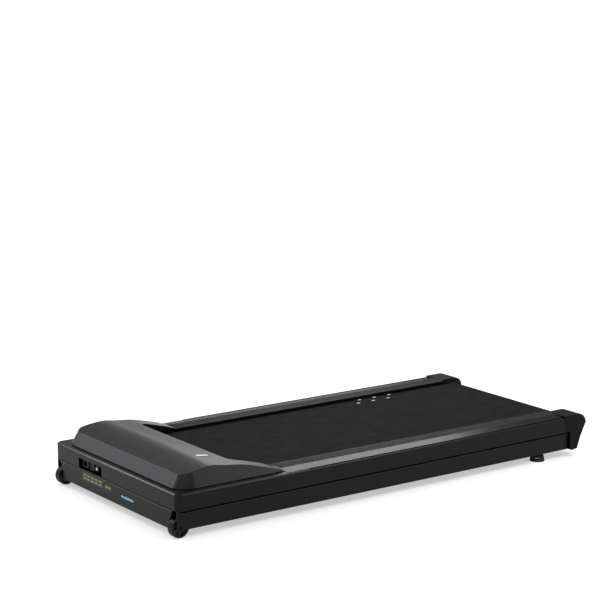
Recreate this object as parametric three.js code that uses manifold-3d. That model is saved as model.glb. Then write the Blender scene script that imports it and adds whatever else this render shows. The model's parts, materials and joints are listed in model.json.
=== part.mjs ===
// Under-desk walking treadmill. Millimetres, +Z up, motor end at -Y, rear end at +Y. Left (-X) and
// right (+X) are as seen from the motor end, looking along the belt. The origin is on the floor
// under the middle of the machine.
import * as THREE from 'three';
import { mergeVertices } from 'three/addons/utils/BufferGeometryUtils.js';
import Module from 'manifold-3d';

const wasm = await Module();
wasm.setup();

// ---------- driving dimensions ----------
const overall = { length: 1600, width: 724 };
const gap = 0.3; // between pieces that touch
const play = 0.5; // round a pin, bolt or plug

const belt = { sideGap: 8, thickness: 2.5, top: 129 }; // sideGap: from its edge to the rail
const deck = { thickness: 18, underRail: 36 }; // underRail: how far it reaches under each rail
const roller = { radius: 22.2, pastBelt: 4, axleRadius: 8.5, wall: 3.2, endPlug: 25 };
const channel = { bottom: 24, top: 83.6, wall: 2.5, flange: 90, bayFlange: 52, recess: 10 };
const crossTube = { depth: 40, height: 38, wall: 2.5 };
const cover = { width: 100, wall: 3, sideTop: 131, bevel: 4, crown: 139, bandInner: 47, innerDrop: 7 };
const strip = { inset: 4, width: 47, thickness: 1.7 };
const rim = { ledge: 134.7, cornerRadius: 20, wall: 3, openingSide: 44, openingFront: 32 };
const hood = {
  ledgeFront: 22, ledgeSide: 25, base: 137, top: 192, cornerRadius: 57, wall: 4.5, reveal: 2.5,
  frontLean: 33, sideLean: 22, tailLength: 390, bodyLength: 252, rearLean: 12, filletRadius: 30,
};
const cap = { length: 95, width: 85, wall: 3, top: 140 };
const frontRollerOffset = 200; // from the front face to the front roller's axis
const rearRollerOffset = 57; // from the rear face to the rear roller's axis
const wheel = { radius: 30, width: 24, fromFront: 19, boltRadius: 4, clearance: 2.5, plate: 3, lobe: 11 };
const foot = { radius: 25, height: 18, fromRear: 188, sideOffset: 30, stemRadius: 4, lift: 3 };
const motor = { radius: 42, length: 150, fromFront: 108, height: 88, fromPulley: 53, shaftRadius: 6 };
const pulley = { driven: 36, driver: 14, width: 16, beltThickness: 3 };
const port = { left: -212, right: -72, bottom: 86, top: 117, setback: 12, plate: 2.5 };
const cushion = { radius: 14, rows: [0.08, 0.5, 0.92] };

// ---------- places worked out from them ----------
const halfWidth = overall.width / 2;
const front = -overall.length / 2;
const rear = overall.length / 2;
const wheelOverhang = wheel.radius - wheel.fromFront; // the wheels stand this far in front of the rim
const rimBottom = channel.top + 0.4;
const deckTop = belt.top - belt.thickness - gap;
const deckBottom = deckTop - deck.thickness;
const rollerZ = deckTop - roller.radius;
const frontRollerY = front + frontRollerOffset;
const rearRollerY = rear - rearRollerOffset;
const channelX = halfWidth - channel.recess;
const channelFront = front + 55;
const channelRear = rear - 71;
const coverInnerX = halfWidth - cover.width;
const beltHalf = coverInnerX - belt.sideGap;
const deckHalf = coverInnerX + deck.underRail;
const rollerHalf = beltHalf + roller.pastBelt;
const bayEnd = front + hood.bodyLength - 8;
const bayInnerX = channelX - channel.bayFlange;
const capFront = rear - cap.length;
const coverFront = front + 470;
const hoodTail = front + hood.tailLength;
const wheelY = front + wheel.fromFront;
const wheelX = channelX - channel.wall - wheel.clearance - wheel.width / 2;
const wheelPlateX = wheelX - wheel.width / 2 - 4 - wheel.plate; // inner face of the inboard plate
const footY = rear - foot.fromRear;
const footX = halfWidth - foot.sideOffset;
const motorY = front + motor.fromFront;
const pulleyX = -rollerHalf - 4 - pulley.width;
const motorLeft = pulleyX + motor.fromPulley;
const panFloor = channel.bottom + channel.wall + gap; // underside of what stands on the frame's flanges
const panTop = panFloor + 2 + gap; // underside of what stands on the pan

// ---------- geometry helpers ----------
const ALONG_Y = new THREE.Matrix4().makeRotationX(Math.PI / 2);
const ALONG_X = new THREE.Matrix4().makeBasis(
  new THREE.Vector3(0, 1, 0), new THREE.Vector3(0, 0, 1), new THREE.Vector3(1, 0, 0));

/** A Shape through a list of [a, b] points. */
function outline(points) {
  return new THREE.Shape(points.map(([a, b]) => new THREE.Vector2(a, b)));
}

function extrude(shape, depth) {
  return new THREE.ExtrudeGeometry(shape, { depth, bevelEnabled: false, steps: 1 });
}

/** A plan outline (x, y) raised from z0 to z1. */
function alongZ(shape, z0, z1) {
  return extrude(shape, z1 - z0).translate(0, 0, z0);
}

/** A front outline (x, z) drawn out from y0 to y1. */
function alongY(shape, y0, y1) {
  return extrude(shape, y1 - y0).applyMatrix4(ALONG_Y).translate(0, y1, 0);
}

/** A side outline (y, z) drawn out from x0 to x1. */
function alongX(shape, x0, x1) {
  return extrude(shape, x1 - x0).applyMatrix4(ALONG_X).translate(x0, 0, 0);
}

function box([x0, x1], [y0, y1], [z0, z1]) {
  return new THREE.BoxGeometry(x1 - x0, y1 - y0, z1 - z0)
    .translate((x0 + x1) / 2, (y0 + y1) / 2, (z0 + z1) / 2);
}

/** A round bar with some flats along an axis from a to b, centred on the other two coordinates. */
function bar(axis, a, b, [u, v], radius, flats = 20) {
  const shape = outline(arc([u, v], radius, 0, 2 * Math.PI, flats).slice(1));
  const along = { x: alongX, y: alongY, z: alongZ }[axis];
  return along(shape, a, b);
}

/** Turns a geometry into a solid. */
function solid(geometry) {
  const positions = new THREE.BufferGeometry();
  positions.setAttribute('position', geometry.getAttribute('position'));
  positions.setIndex(geometry.index);
  const merged = mergeVertices(positions, 1e-4);
  return new wasm.Manifold(new wasm.Mesh({
    numProp: 3,
    vertProperties: new Float32Array(merged.getAttribute('position').array),
    triVerts: new Uint32Array(merged.index.array),
  }));
}

/** Turns a solid back into a geometry. */
function geometryOf(manifold) {
  const mesh = manifold.getMesh();
  const geometry = new THREE.BufferGeometry();
  geometry.setAttribute('position', new THREE.BufferAttribute(new Float32Array(mesh.vertProperties), 3));
  geometry.setIndex(new THREE.BufferAttribute(new Uint32Array(mesh.triVerts), 1));
  return geometry;
}

function join(...geometries) {
  return geometries.map(solid).reduce((sum, next) => sum.add(next));
}

function cut(body, ...tools) {
  const asSolid = (shape) => (shape instanceof THREE.BufferGeometry ? solid(shape) : shape);
  return tools.reduce((rest, tool) => rest.subtract(asSolid(tool)), asSolid(body));
}

/** The solid between one plan outline at z0 and another, with as many points, at z1. */
function loft(lower, upper, z0, z1) {
  const count = lower.length;
  const positions = [...lower.map(([x, y]) => [x, y, z0]), ...upper.map(([x, y]) => [x, y, z1])].flat();
  const index = [];
  for (let i = 0; i < count; i += 1) {
    const next = (i + 1) % count;
    index.push(i, next, count + next, i, count + next, count + i);
  }
  const flat = lower.map(([x, y]) => new THREE.Vector2(x, y));
  for (const [a, b, c] of THREE.ShapeUtils.triangulateShape(flat, [])) {
    index.push(c, b, a, count + a, count + b, count + c);
  }
  const geometry = new THREE.BufferGeometry();
  geometry.setAttribute('position', new THREE.Float32BufferAttribute(positions, 3));
  geometry.setIndex(index);
  return geometry;
}

function arc([x, y], radius, from, to, steps) {
  return Array.from({ length: steps + 1 }, (_, i) => {
    const angle = from + ((to - from) * i) / steps;
    return [x + radius * Math.cos(angle), y + radius * Math.sin(angle)];
  });
}

/** Plan outline, anticlockwise, square at the back and with two round corners in front. */
function planOutline(halfX, frontY, backY, radius, steps = 8) {
  return [
    [halfX, backY],
    [-halfX, backY],
    ...arc([-halfX + radius, frontY + radius], radius, Math.PI, 1.5 * Math.PI, steps),
    ...arc([halfX - radius, frontY + radius], radius, 1.5 * Math.PI, 2 * Math.PI, steps),
  ];
}

/** The side outline of a flat belt round two pulleys, at a distance outside them. */
function beltPath([y1, z1, r1], [y2, z2, r2], outside) {
  const direction = Math.atan2(z2 - z1, y2 - y1);
  const spread = Math.acos((r1 - r2) / Math.hypot(y2 - y1, z2 - z1));
  return [
    ...arc([y1, z1], r1 + outside, direction + spread, direction + 2 * Math.PI - spread, 16),
    ...arc([y2, z2], r2 + outside, direction - spread, direction + spread, 16),
  ];
}

/** A closed belt round two pulleys, each given as [y, z, radius]. */
function beltLoop(first, second, thickness, x0, x1) {
  const shape = outline(beltPath(first, second, gap + thickness));
  shape.holes.push(new THREE.Path(outline(beltPath(first, second, gap)).getPoints()));
  return alongX(shape, x0, x1);
}

/** The same outline on the other side of the machine. */
function mirrored(points, side) {
  return side > 0 ? points : points.map(([x, z]) => [-x, z]).reverse();
}

/** An x range measured outwards from the middle, on one side of the machine. */
function span(side, inner, outer) {
  return side > 0 ? [inner, outer] : [-outer, -inner];
}

// ---------- finishes ----------
function finish(color, roughness, metalness = 0) {
  return new THREE.MeshStandardMaterial({ color, roughness, metalness });
}

const finishes = {
  blackPaint: finish(0x1c1c1d, 0.45, 0.3),
  shellPlastic: finish(0x2b2b2d, 0.5),
  hoodPlastic: finish(0x26272a, 0.3),
  stripPlastic: finish(0x4a4a4c, 0.6),
  beltFabric: finish(0x2f2f31, 0.85),
  deckBoard: finish(0x3a2a1e, 0.6),
  rubber: finish(0x121212, 0.9),
  steel: finish(0xb4b6b8, 0.35, 1),
  aluminium: finish(0xc4c6c8, 0.4, 1),
  blackPlastic: finish(0x101011, 0.4),
  whitePlastic: finish(0xe6e6e2, 0.4),
  castIron: finish(0x4b4d50, 0.6, 0.8),
};

const model = new THREE.Group();
model.position.y = wheelOverhang / 2;

function place(name, shape, material) {
  const geometry = shape instanceof THREE.BufferGeometry ? shape : geometryOf(shape);
  const mesh = new THREE.Mesh(geometry, material);
  mesh.name = name;
  model.add(mesh);
  return mesh;
}

const sides = [['left', -1], ['right', 1]];

// ---------- steel frame ----------
/** The web runs on past the flanges to the front, where it covers the wheel and carries its bolt. */
function wheelCheek(side) {
  const x = span(side, channelX - channel.wall, channelX);
  const plate = box(x, [front + 3, channelFront + 1], [channel.bottom, channel.top]);
  return join(plate, bar('x', ...x, [wheelY, wheel.radius], wheel.lobe));
}

function sideFrame(side) {
  const innerX = channelX - channel.flange;
  const profile = mirrored([
    [innerX, channel.bottom], [channelX, channel.bottom], [channelX, channel.top], [innerX, channel.top],
    [innerX, channel.top - channel.wall], [channelX - channel.wall, channel.top - channel.wall],
    [channelX - channel.wall, channel.bottom + channel.wall], [innerX, channel.bottom + channel.wall],
  ], side);
  const rail = alongY(outline(profile), channelFront, channelRear);
  const bay = box(span(side, innerX - 10, bayInnerX), [channelFront - 10, bayEnd], [0, 200]);
  const stemHole = bar('z', channel.bottom - 5, channel.bottom + 10, [side * footX, footY],
    foot.stemRadius + 1);
  const support = outline([
    [frontRollerY - 25, channel.top - 1], [frontRollerY + 25, channel.top - 1],
    [frontRollerY + 17, rollerZ + 16], [frontRollerY - 17, rollerZ + 16],
  ]);
  const plate = alongX(support, ...span(side, bayInnerX, bayInnerX + 4));
  const axleHole = bar('x', ...span(side, bayInnerX - 5, bayInnerX + 10), [frontRollerY, rollerZ],
    roller.axleRadius + gap);
  const boltHole = bar('x', ...span(side, channelX - 10, channelX + 5), [wheelY, wheel.radius],
    wheel.boltRadius + gap);
  return cut(join(rail, plate).add(wheelCheek(side)), bay, stemHole, axleHole, boltHole);
}

function crossmember(centreY) {
  const x = channelX - channel.wall - gap;
  const low = panFloor;
  const high = low + crossTube.height;
  const halfDepth = crossTube.depth / 2;
  const wall = crossTube.wall;
  return cut(
    box([-x, x], [centreY - halfDepth, centreY + halfDepth], [low, high]),
    box([-x - 5, x + 5], [centreY - halfDepth + wall, centreY + halfDepth - wall],
      [low + wall, high - wall]));
}

/** The panel's ends are cut back in a curve, so that the wheels turn clear of it beside the cheeks. */
function frontPanel() {
  const clearX = wheelX - wheel.width / 2 - wheel.clearance;
  const intoWheel = wheel.fromFront - channel.wall;
  const clearZ = wheel.radius + Math.sqrt((wheel.radius + wheel.clearance) ** 2 - intoWheel ** 2);
  const end = new THREE.SplineCurve([
    [clearX - 11.5, channel.bottom], [clearX - 5.5, (channel.bottom + clearZ) / 2], [clearX, clearZ],
    [clearX + 13.5, channel.top],
  ].map(([x, z]) => new THREE.Vector2(x, z))).getPoints(9).map(({ x, y }) => [x, y]);
  return alongY(outline([...mirrored(end, -1), ...end]), front, front + channel.wall);
}

function motorPan() {
  const low = panFloor;
  const x = channelX - channel.wall - gap;
  const narrowX = wheelPlateX - 8;
  const start = front + channel.wall + gap;
  const step = channelFront;
  const end = frontRollerY + 34;
  const slots = Array.from({ length: 8 }, (_, i) => box([-90 + i * 26, -80 + i * 26],
    [front + 20, front + 60], [low - 5, low + 10]));
  return cut(alongZ(outline([
    [-narrowX, start], [narrowX, start], [narrowX, step], [x, step], [x, end], [-x, end], [-x, step],
    [-narrowX, step],
  ]), low, low + 2), ...slots);
}

// ---------- plastic covers ----------
/** Section of the hollow side rail: side wall, bevel, groove, sloped band, strip seat and inner wall. */
function railSection() {
  const outer = halfWidth;
  const bevelX = outer - cover.bevel;
  const bandX = outer - cover.bandInner;
  const seat = cover.crown - strip.thickness;
  return [
    [outer, rimBottom], [outer, cover.sideTop], [bevelX, cover.sideTop + 3],
    [outer - 5.5, cover.sideTop + 3], [outer - 6, cover.sideTop + 1.8],
    [outer - 7.6, cover.sideTop + 1.8], [outer - 8.2, cover.sideTop + 3.8],
    [bandX, cover.crown], [bandX - 1.7, cover.crown], [bandX - 1.7, seat], [coverInnerX + 3.5, seat],
    [coverInnerX + 3.5, cover.crown], [coverInnerX, cover.crown], [coverInnerX, deckTop + 0.6],
    [coverInnerX + cover.wall, deckTop + 0.6], [coverInnerX + cover.wall, seat - cover.wall],
    [bandX, seat - cover.wall], [outer - 12, cover.sideTop - 1.2], [outer - cover.wall, cover.sideTop - 4],
    [outer - cover.wall, rimBottom],
  ];
}

function railCover(side, y0, y1) {
  return alongY(outline(mirrored(railSection(), side)), y0, y1);
}

function footStrip(side) {
  const seat = cover.crown - strip.thickness;
  const x = span(side, coverInnerX + strip.inset, coverInnerX + strip.inset + strip.width);
  return box(x, [hoodTail + 12, capFront - 1], [seat + gap, cover.crown + 0.2]);
}

function apron() {
  const blockEnd = hoodTail + 2;
  const inset = (by) => planOutline(halfWidth - by, front + by, blockEnd, rim.cornerRadius - by);
  const outside = join(
    loft(inset(0), inset(0), rimBottom, cover.sideTop),
    loft(inset(0), inset(cover.bevel), cover.sideTop - 0.001, rim.ledge));
  const inner = planOutline(halfWidth - rim.wall, front + rim.wall, blockEnd + 10,
    rim.cornerRadius - rim.wall);
  const hollow = loft(inner, inner, rimBottom - 5, rim.ledge - rim.wall);
  const bayX = halfWidth - rim.openingSide;
  const bay = box([-bayX, bayX], [front + rim.openingFront, bayEnd], [rimBottom - 10, rim.ledge + 10]);
  const walkway = box([-coverInnerX, coverInnerX], [bayEnd - 1, blockEnd + 10],
    [rimBottom - 10, rim.ledge + 10]);
  const ports = box([port.left, port.right], [front - 5, front + 10], [port.bottom, port.top]);
  let shell = cut(outside, hollow, bay, walkway, ports);
  for (const [, side] of sides) {
    const wallX = span(side, coverInnerX, coverInnerX + cover.wall);
    shell = shell.add(solid(box(wallX, [bayEnd, blockEnd], [deckTop + 0.6, rim.ledge])));
    shell = shell.add(solid(railCover(side, blockEnd - 0.5, coverFront)));
  }
  return shell;
}

/** Height of the hood's crown along its length, as distances back from the front face. */
const crownLine = new THREE.SplineCurve([
  [0, 158], [43, 172], [60, 178], [106, 187], [150, 190], [192, 184], [245, 177.6], [280, 170.5],
  [316, 160.6], [352, 151], [374, 143], [386, 139.2], [390, 137.1],
].map(([back, height]) => new THREE.Vector2(front + back, height)));

function hoodSolid(inset) {
  const halfX = halfWidth - hood.ledgeSide - inset;
  const frontY = front + hood.ledgeFront + inset;
  const radius = hood.cornerRadius - inset;
  const base = hood.base - (inset ? 12 : 0);
  const lower = planOutline(halfX, frontY, hoodTail, radius);
  const upper = planOutline(halfX - hood.sideLean, frontY + hood.frontLean, hoodTail, radius);
  const crown = crownLine.getPoints(44).map(({ x, y }) => [x, y - inset]);
  const side = outline([[hoodTail + 1, base - 5], ...crown.reverse(), [front - 1, base - 5]]);
  return solid(loft(lower, upper, base, hood.top)).intersect(solid(alongX(side, -halfWidth, halfWidth)));
}

/** The space over the belt behind the hood, leaning forward as it rises. */
function walkwayCutter(inset) {
  const halfX = coverInnerX - 2 + inset;
  const start = front + hood.bodyLength - inset;
  const back = hoodTail + 20;
  const lower = planOutline(halfX, start, back, hood.filletRadius + inset);
  const upper = planOutline(halfX, start - hood.rearLean, back, hood.filletRadius + inset);
  return loft(lower, upper, rim.ledge - 20, hood.top + 5);
}

function motorHood() {
  const skirtX = halfWidth - hood.ledgeSide - hood.reveal;
  const skirtPlan = planOutline(skirtX, front + hood.ledgeFront + hood.reveal, hoodTail - hood.reveal,
    hood.cornerRadius - hood.reveal);
  const skirt = loft(skirtPlan, skirtPlan, rim.ledge + gap, hood.base + 0.1);
  const body = solid(skirt).add(hoodSolid(0)).subtract(solid(walkwayCutter(0)));
  const hollow = hoodSolid(hood.wall).subtract(solid(walkwayCutter(hood.wall)));
  return body.subtract(hollow);
}

function endCap(side) {
  const inX = halfWidth - cap.width;
  const lowFront = channelRear + 1;
  const shell = alongX(outline([
    [capFront, rimBottom], [lowFront, rimBottom], [lowFront, channel.bottom],
    [rear - 60, channel.bottom - 4], [rear - 37, channel.bottom], [rear - 23, 63], [rear, 108],
    [rear - 2, 119], [rear - 9, 130], [rear - 19, 137], [rear - 30, cap.top], [capFront, cap.top],
  ]), ...span(side, inX, halfWidth));
  const hollow = alongX(outline([
    [capFront - 10, rimBottom - gap], [lowFront - 10, rimBottom - gap], [lowFront - 10, channel.bottom + 3],
    [rear - 58, channel.bottom], [rear - 41, channel.bottom + 4], [rear - 26.5, 64.5], [rear - 4, 108],
    [rear - 11, 127], [rear - 20, 133.6], [rear - 31, cap.top - cap.wall],
    [capFront - 10, cap.top - cap.wall],
  ]), ...span(side, inX + cap.wall, halfWidth - cap.wall));
  const axleHole = bar('x', ...span(side, inX - 5, inX + cap.wall + 5), [rearRollerY, rollerZ], 13);
  const boltHole = bar('y', rear - 40, rear + 10, [side * boltX, rollerZ], 9);
  return cut(shell, hollow, axleHole, boltHole);
}

// ---------- deck, belt and rollers ----------
const boltX = halfWidth - cap.width + 17;
const bracketX = halfWidth - cap.width + 6;

function rearBracket(side) {
  const low = channel.top + gap;
  const [y0, y1] = [channelRear - 40, channelRear - 1];
  const upright = alongX(outline([[y0, low], [y1 + 30, low], [y1 + 30, rollerZ + 15], [y0, rollerZ + 15]]),
    ...span(side, bracketX, bracketX + 4));
  const base = box(span(side, bracketX, bracketX + 34), [y0, y1], [low, low + 3]);
  const tab = box(span(side, bracketX, bracketX + 22), [y1 + 27, y1 + 30], [low, rollerZ + 15]);
  const slot = box(span(side, bracketX - 5, bracketX + 6), [rearRollerY - 20, rearRollerY + 14],
    [rollerZ - roller.axleRadius - gap, rollerZ + roller.axleRadius + gap]);
  const boltHole = bar('y', y1 + 20, y1 + 40, [side * boltX, rollerZ], 4 + play);
  return cut(join(upright, base, tab), slot, boltHole);
}

function rollerTube(centreY, gearEnd) {
  const half = rollerHalf;
  const shell = bar('x', -half, half, [centreY, rollerZ], roller.radius, 28);
  const bore = bar('x', pulleyX - 5, half + 5, [centreY, rollerZ], roller.axleRadius + play);
  const hollow = bar('x', roller.endPlug - half, half - roller.endPlug, [centreY, rollerZ],
    roller.radius - roller.wall, 28);
  if (!gearEnd) return cut(shell, bore, hollow);
  const hub = bar('x', pulleyX, -half + 1, [centreY, rollerZ], 15);
  return cut(join(shell, hub), bore, hollow);
}

function pulleyWheel([y, z], radius, bore, x0, x1) {
  return cut(bar('x', x0, x1, [y, z], radius, 28), bar('x', x0 - 5, x1 + 5, [y, z], bore));
}

function rearAxle() {
  const end = bracketX + 14 + 8;
  const rod = bar('x', -end, end, [rearRollerY, rollerZ], roller.axleRadius);
  const threads = sides.map(([, side]) => bar('y', rearRollerY - 20, rearRollerY + 20,
    [side * boltX, rollerZ], 4 + play));
  return cut(rod, ...threads);
}

function tensionBolt(side) {
  const tab = channelRear - 1 + 30 + gap;
  return join(
    bar('y', rearRollerY - 14, tab + 2, [side * boltX, rollerZ], 4, 16),
    bar('y', tab, tab + 8, [side * boltX, rollerZ], 7, 6));
}

// ---------- drive ----------
function motorHousing() {
  const centre = [motorY, motor.height];
  const [x0, x1] = [motorLeft, motorLeft + motor.length];
  const ribs = arc(centre, motor.radius + 1, 0, 2 * Math.PI, 12).slice(1)
    .map((place) => bar('x', x0 + 10, x1 - 10, place, 2.5, 8));
  return cut(bar('x', x0, x1, centre, motor.radius, 28),
    bar('x', x0 - 5, x0 + 60, centre, motor.shaftRadius + 1), ...ribs);
}

function motorRotor() {
  const centre = [motorY, motor.height];
  return join(
    bar('x', pulleyX - 2, motorLeft + 50, centre, motor.shaftRadius, 16),
    bar('x', motorLeft - 24, motorLeft - 6, centre, motor.radius - 4, 28));
}

function motorCradle() {
  const low = panTop;
  const x0 = motorLeft + 25;
  const block = box([x0, x0 + 100], [motorY - 38, motorY + 38], [low, motor.height - 18]);
  return cut(block, bar('x', x0 - 5, x0 + 105, [motorY, motor.height], motor.radius + gap, 28),
    box([x0 + 15, x0 + 85], [motorY - 60, motorY + 60], [low + 4, motor.height]));
}

function controllerCase() {
  const low = panTop;
  return join(
    box([40, 220], [front + 40, front + 150], [low, low + 26]),
    box([34, 226], [front + 60, front + 80], [low, low + 3]),
    box([34, 226], [front + 110, front + 130], [low, low + 3]));
}

function heatSink() {
  const low = panTop + 26 + gap;
  const fins = Array.from({ length: 10 }, (_, i) => box([58 + i * 15, 61 + i * 15],
    [front + 50, front + 140], [low + 4, low + 34]));
  return join(box([50, 210], [front + 50, front + 140], [low, low + 5]), ...fins);
}

// ---------- inlet, switch and breaker ----------
const portMid = (port.bottom + port.top) / 2;
const portFace = front + port.setback;
const inletX = port.left + 26;
const switchX = port.left + 66;
const breakerX = port.left + 98;
const portScrewX = port.right - 9;

function portPlate() {
  const plate = box([port.left - 6, port.right + 6], [portFace, portFace + port.plate],
    [rimBottom + gap, rim.ledge - rim.wall - gap]);
  const through = (x, halfX, halfZ) => box([x - halfX - gap, x + halfX + gap],
    [portFace - 5, portFace + 10], [portMid - halfZ - gap, portMid + halfZ + gap]);
  const round = (x, z, radius) => bar('y', portFace - 5, portFace + 10, [x, z], radius + gap);
  return cut(plate, through(inletX, 13, 10), through(switchX, 9, 10), round(breakerX, portMid, 6),
    ...[-1, 1].map((step) => round(portScrewX, portMid + step * 11, 2)));
}

function powerInlet() {
  const block = (halfX, [y0, y1], halfZ) => box([inletX - halfX, inletX + halfX],
    [portFace + y0, portFace + y1], [portMid - halfZ, portMid + halfZ]);
  const pins = [[-7, -1.5], [0, 2.5], [7, -1.5]].map(([x, z]) => box(
    [inletX + x - 1, inletX + x + 1], [portFace + 2, portFace + 17],
    [portMid + z - 2.5, portMid + z + 2.5]));
  const shell = cut(join(block(18, [-3, -gap], 13), block(13, [-1, 24], 10)), block(11.5, [-10, 16], 8));
  return pins.reduce((sum, pin) => sum.add(solid(pin)), shell);
}

function switchBezel() {
  const block = (halfX, [y0, y1], halfZ) => box([switchX - halfX, switchX + halfX],
    [portFace + y0, portFace + y1], [portMid - halfZ, portMid + halfZ]);
  return cut(join(block(12, [-2.5, -gap], 13), block(9, [-1, 20], 10)), block(7.5, [-10, 14], 9));
}

/** The rocker turns about a pin along X, and rests with its lower half pressed in. */
function rocker() {
  const tilt = THREE.MathUtils.degToRad(8);
  const shape = new THREE.Shape();
  shape.moveTo(3.5, -8.2);
  shape.lineTo(3.5, 8.2);
  shape.lineTo(-3.8, 8.2);
  shape.lineTo(-2.6, 0);
  shape.lineTo(-3.8, -8.2);
  shape.closePath();
  return extrude(shape, 14).translate(0, 0, -7).applyMatrix4(ALONG_X).rotateX(tilt)
    .translate(switchX, portFace + 2.5, portMid);
}

function breakerBody() {
  const centre = [breakerX, portMid];
  const round = (y0, y1, radius) => bar('y', portFace + y0, portFace + y1, centre, radius);
  return cut(join(round(-3, -gap, 9), round(-1, 22, 6)), round(-10, 18, 4.5));
}

// ---------- wheels and feet ----------
function wheelBracket(side) {
  const inX = wheelPlateX;
  const start = front + channel.wall + gap;
  const low = wheel.radius - wheel.lobe;
  const plate = outline([
    [start, channel.top - 1], [channelFront - 3, channel.top - 1], [channelFront - 3, channel.bottom + 6],
    [wheelY + wheel.lobe, low], [wheelY - 6, low], [start, channel.bottom + 4],
  ]);
  const hole = bar('x', ...span(side, inX - 5, inX + 10), [wheelY, wheel.radius], wheel.boltRadius + gap);
  return cut(alongX(plate, ...span(side, inX, inX + wheel.plate)), hole);
}

function transportWheel(side) {
  const half = wheel.width / 2;
  const bore = wheel.boltRadius + 0.4;
  const profile = [
    [bore, -half], [12, -half], [13, -half + 4], [22, -half + 4], [23, -half],
    [wheel.radius - 2, -half], [wheel.radius, -half + 2], [wheel.radius, half - 2],
    [wheel.radius - 2, half], [23, half], [22, half - 4], [13, half - 4], [12, half], [bore, half],
    [bore, -half],
  ].map(([radius, along]) => new THREE.Vector2(radius, along));
  return new THREE.LatheGeometry(profile, 24).rotateZ(-Math.PI / 2)
    .translate(side * wheelX, wheelY, wheel.radius);
}

function wheelBolt(side) {
  const centre = [wheelY, wheel.radius];
  const inner = wheelPlateX - 7;
  const outer = channelX + gap;
  return join(
    bar('x', ...span(side, inner + 6.5, outer + 1), centre, wheel.boltRadius, 16),
    bar('x', ...span(side, inner, inner + 7 - gap), centre, 7, 6),
    bar('x', ...span(side, outer, outer + 4), centre, 7.5));
}

function rearFoot(side) {
  const profile = [
    [0, 0], [foot.radius - 2, 0], [foot.radius, 2], [foot.radius - 4, foot.height], [0, foot.height],
  ].map(([radius, height]) => new THREE.Vector2(radius, height));
  return new THREE.LatheGeometry(profile, 24).rotateX(Math.PI / 2).translate(side * footX, footY, 0);
}

function footStem(side) {
  const low = foot.height + gap;
  const centre = [side * footX, footY];
  return join(
    bar('z', low, low + 1.6, centre, 10),
    bar('z', low + 1, channel.top - 24, centre, foot.stemRadius, 16));
}

function footNut(side) {
  const low = panFloor;
  const centre = [side * footX, footY];
  return cut(bar('z', low, low + 7, centre, 8, 6),
    bar('z', low - 5, low + 12, centre, foot.stemRadius + gap, 16));
}

// ---------- assembly ----------
const crossmembers = [
  ['front_crossmember', frontRollerY + 62],
  ['middle_crossmember', (frontRollerY + rearRollerY) / 2],
  ['rear_crossmember', channelRear - crossTube.depth],
];
for (const [name, y] of crossmembers) place(name, crossmember(y), finishes.blackPaint);
place('front_panel', frontPanel(), finishes.blackPaint);
place('motor_pan', motorPan(), finishes.blackPaint);
place('front_apron', apron(), finishes.shellPlastic);
place('motor_hood', motorHood(), finishes.hoodPlastic);

const deckFront = frontRollerY + pulley.driven + pulley.beltThickness + 8;
const deckRear = channelRear - 42;
place('deck_board', box([-deckHalf, deckHalf], [deckFront, deckRear], [deckBottom, deckTop]),
  finishes.deckBoard);
place('walking_belt', beltLoop([frontRollerY, rollerZ, roller.radius],
  [rearRollerY, rollerZ, roller.radius], belt.thickness, -beltHalf, beltHalf), finishes.beltFabric);
place('front_roller', rollerTube(frontRollerY, true), finishes.steel);
place('drive_pulley', pulleyWheel([frontRollerY, rollerZ], pulley.driven, 15 + gap, pulleyX + 1,
  pulleyX + 1 + pulley.width), finishes.castIron);
place('front_axle', bar('x', -bayInnerX - 4, bayInnerX + 4, [frontRollerY, rollerZ], roller.axleRadius),
  finishes.steel);
place('rear_roller', rollerTube(rearRollerY, false), finishes.steel);
place('rear_axle', rearAxle(), finishes.steel);

place('motor_housing', motorHousing(), finishes.blackPaint);
place('motor_rotor', motorRotor(), finishes.castIron);
place('motor_pulley', pulleyWheel([motorY, motor.height], pulley.driver, motor.shaftRadius + gap,
  pulleyX + 1, pulleyX + 1 + pulley.width), finishes.steel);
place('motor_cradle', motorCradle(), finishes.blackPaint);
place('drive_belt', beltLoop([motorY, motor.height, pulley.driver], [frontRollerY, rollerZ, pulley.driven],
  pulley.beltThickness, pulleyX + 2, pulleyX + pulley.width), finishes.rubber);
place('controller_case', controllerCase(), finishes.blackPlastic);
place('heat_sink', heatSink(), finishes.aluminium);

place('port_plate', portPlate(), finishes.blackPlastic);
place('power_inlet', powerInlet(), finishes.blackPlastic);
place('switch_bezel', switchBezel(), finishes.blackPlastic);
place('switch_rocker', rocker(), finishes.blackPlastic);
place('breaker_body', breakerBody(), finishes.blackPlastic);
place('breaker_button', bar('y', portFace - 5.5, portFace + 12, [breakerX, portMid], 4.1),
  finishes.whitePlastic);
for (const [name, step] of [['lower', -1], ['upper', 1]]) {
  const centre = [portScrewX, portMid + step * 11];
  place(`port_screw_${name}`, join(bar('y', portFace - 3, portFace - gap, centre, 4.2, 16),
    bar('y', portFace - 1, portFace + 10, centre, 2, 12)), finishes.steel);
}

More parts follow.
